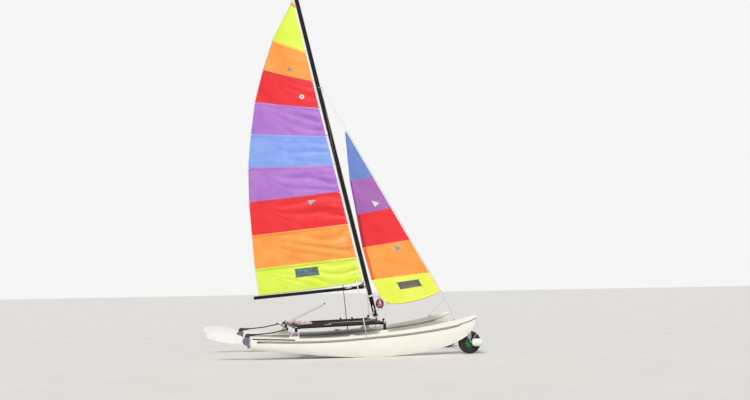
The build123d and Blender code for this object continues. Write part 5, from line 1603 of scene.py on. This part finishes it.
# Moulded rubber, matt, greyed by dry sand.
rubber = weathered("tyre_rubber", [(0.45, "#171718"), (0.85, "#403C38")], (22.0, 8.0, 0.7), (0.6, 0.9),
                   (0.25, 0.001), more={"IOR": 1.52})
rim_plastic = moulded_plastic("rim_plastic", "#1E7A40", "#3A9C5A")
fender_plastic = moulded_plastic("fender_plastic", "#F4F3EF", "#DEDBD2", 400.0, 0.4)
dress(rim_plastic, "starboard_dolly_rim", "port_dolly_rim")
dress(fender_plastic, "bow_fenders")
# Half a tyre's section from rim to tread: a radius and a place along the axle.
TYRE_PROFILE = [
    (0.1123, 0.055), (0.122, 0.062), (0.15, 0.071), (0.18, 0.0755), (0.19, 0.0775), (0.196, 0.0752),
    (0.204, 0.0768), (0.212, 0.0745), (0.224, 0.073), (0.236, 0.0685), (0.244, 0.062), (0.2495, 0.05),
    (0.252, 0.03), (0.252, 0.008), (0.2485, 0.006),
]
tread_maker = tread_blocks()
for side, sign in SIDES.items():
    middle = AXLE + Vector((0, sign * WHEEL_Y, 0))
    profile = [*TYRE_PROFILE, *[(out, -along) for out, along in reversed(TYRE_PROFILE)], TYRE_PROFILE[0]]
    body = f"{side}_wheel"
    tyre = put_together(f"{side}_tyre", [turned(profile, middle, to_port, 56)], rubber, body, 30)
    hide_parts(f"{side}_dolly_tyre")
    sizes = {"Blocks": TREAD_BLOCKS, "Tread radius": 0.2515, "Row offset": 0.029}
    blocks = grown(f"{side}_tread", tread_maker, [(0, 0, 0)], [], [(0, 0, 1)], sizes, rubber, body)
    blocks.data.transform(Matrix.Translation(middle))
    rim_surface = surface_of(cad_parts[f"{side}_dolly_rim"])
    for face, way in (("outer", 1), ("inner", -1)):
        starts = []
        for k in range(5):
            angle = 2 * math.pi * k / 5
            spot = Vector((0.052 * math.cos(angle), way * 0.3, 0.052 * math.sin(angle)))
            starts.append(middle + spot)
        heads_on(f"{side}_{face}_rim_bolts", rim_surface, starts, Vector((0, -way, 0)), 0.006, body)


# Bow lashings: a braided polyester line tied round each bow's tip, that hangs down to the fender on the
# dolly and is hitched there.
LASHING = 0.005
dolly_surface = surface_of(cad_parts["bow_fenders"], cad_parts["dolly_frame"])
for side, sign in SIDES.items():
    y = sign * 1.106
    foot, way = onto(dolly_surface, aboard(5.03, y, 0.6), DOWN)
    spots = [
        aboard(5.121, y, 0.80), aboard(5.134, y, 0.782), aboard(5.142, y, 0.73), aboard(5.158, y, 0.63),
        aboard(5.165, y, 0.53), aboard(5.145, y, 0.46), aboard(5.10, y, 0.42), foot + Vector((0.02, 0, 0.03)),
        foot + way * LASHING,
    ]
    lashing, path = rope(f"{side}_bow_lashing", spots, LASHING, pale_line, "platform")


# Studio: a plain pale floor of smoothed plaster, a soft key light from ahead of the starboard side, and an
# even white surround that lights the boat at half its brightness.
floor_material = weathered("studio_floor", [(0.3, "#E4E2DE"), (0.7, "#E8E6E2")], (0.8, 4.0, 0.5), 0.9)
corners = [(-60, -60, 0), (60, -60, 0), (60, 60, 0), (-60, 60, 0)]
floor = new_piece("studio_floor", corners, [(0, 1, 2, 3)], floor_material)

key_lamp = bpy.data.lights.new("key", "SUN")
key_lamp.energy = 2.1
key_lamp.angle = math.radians(14)
key = bpy.data.objects.new("key", key_lamp)
key.rotation_euler = Vector((0.35, 0.75, -0.75)).to_track_quat("-Z", "Y").to_euler()
bpy.context.scene.collection.objects.link(key)

world = bpy.data.worlds.new("studio")
world.use_nodes = True
surround = world.node_tree.nodes["Background"]
rays = put(world.node_tree, "ShaderNodeLightPath")
seen = rays.outputs["Is Camera Ray"]
for ray in ("Is Glossy Ray", "Is Transmission Ray"):
    inputs = {0: seen, 1: rays.outputs[ray]}
    seen = put(world.node_tree, "ShaderNodeMath", inputs, operation="MAXIMUM").outputs[0]
strength = put(world.node_tree, "ShaderNodeMapRange", {"Value": seen, "To Min": 0.5, "To Max": 1.0})
surround.inputs["Color"].default_value = linear("#F6F6F6")
world.node_tree.links.new(strength.outputs["Result"], surround.inputs["Strength"])
bpy.context.scene.world = world

lens = bpy.data.cameras.new("photo_view")
lens.sensor_width = 36
lens.lens = 45.42
lens.clip_end = 200
camera = bpy.data.objects.new("photo_view", lens)
# The photo's camera: which way its right side, its top and its lens point, and where it stands.
right = Vector((0.97924, -0.20224, -0.01354))
upward = Vector((-0.0019, -0.07596, 0.99711))
ahead = Vector((0.20268, 0.97639, 0.07477))
turned_to = Matrix((right, upward, -ahead)).transposed().to_4x4()
camera.matrix_world = Matrix.Translation((-3.705, -21.972, 1.916)) @ turned_to
bpy.context.scene.collection.objects.link(camera)
bpy.context.scene.camera = camera
bpy.context.scene.view_settings.view_transform = "Standard"

bpy.context.view_layer.update()
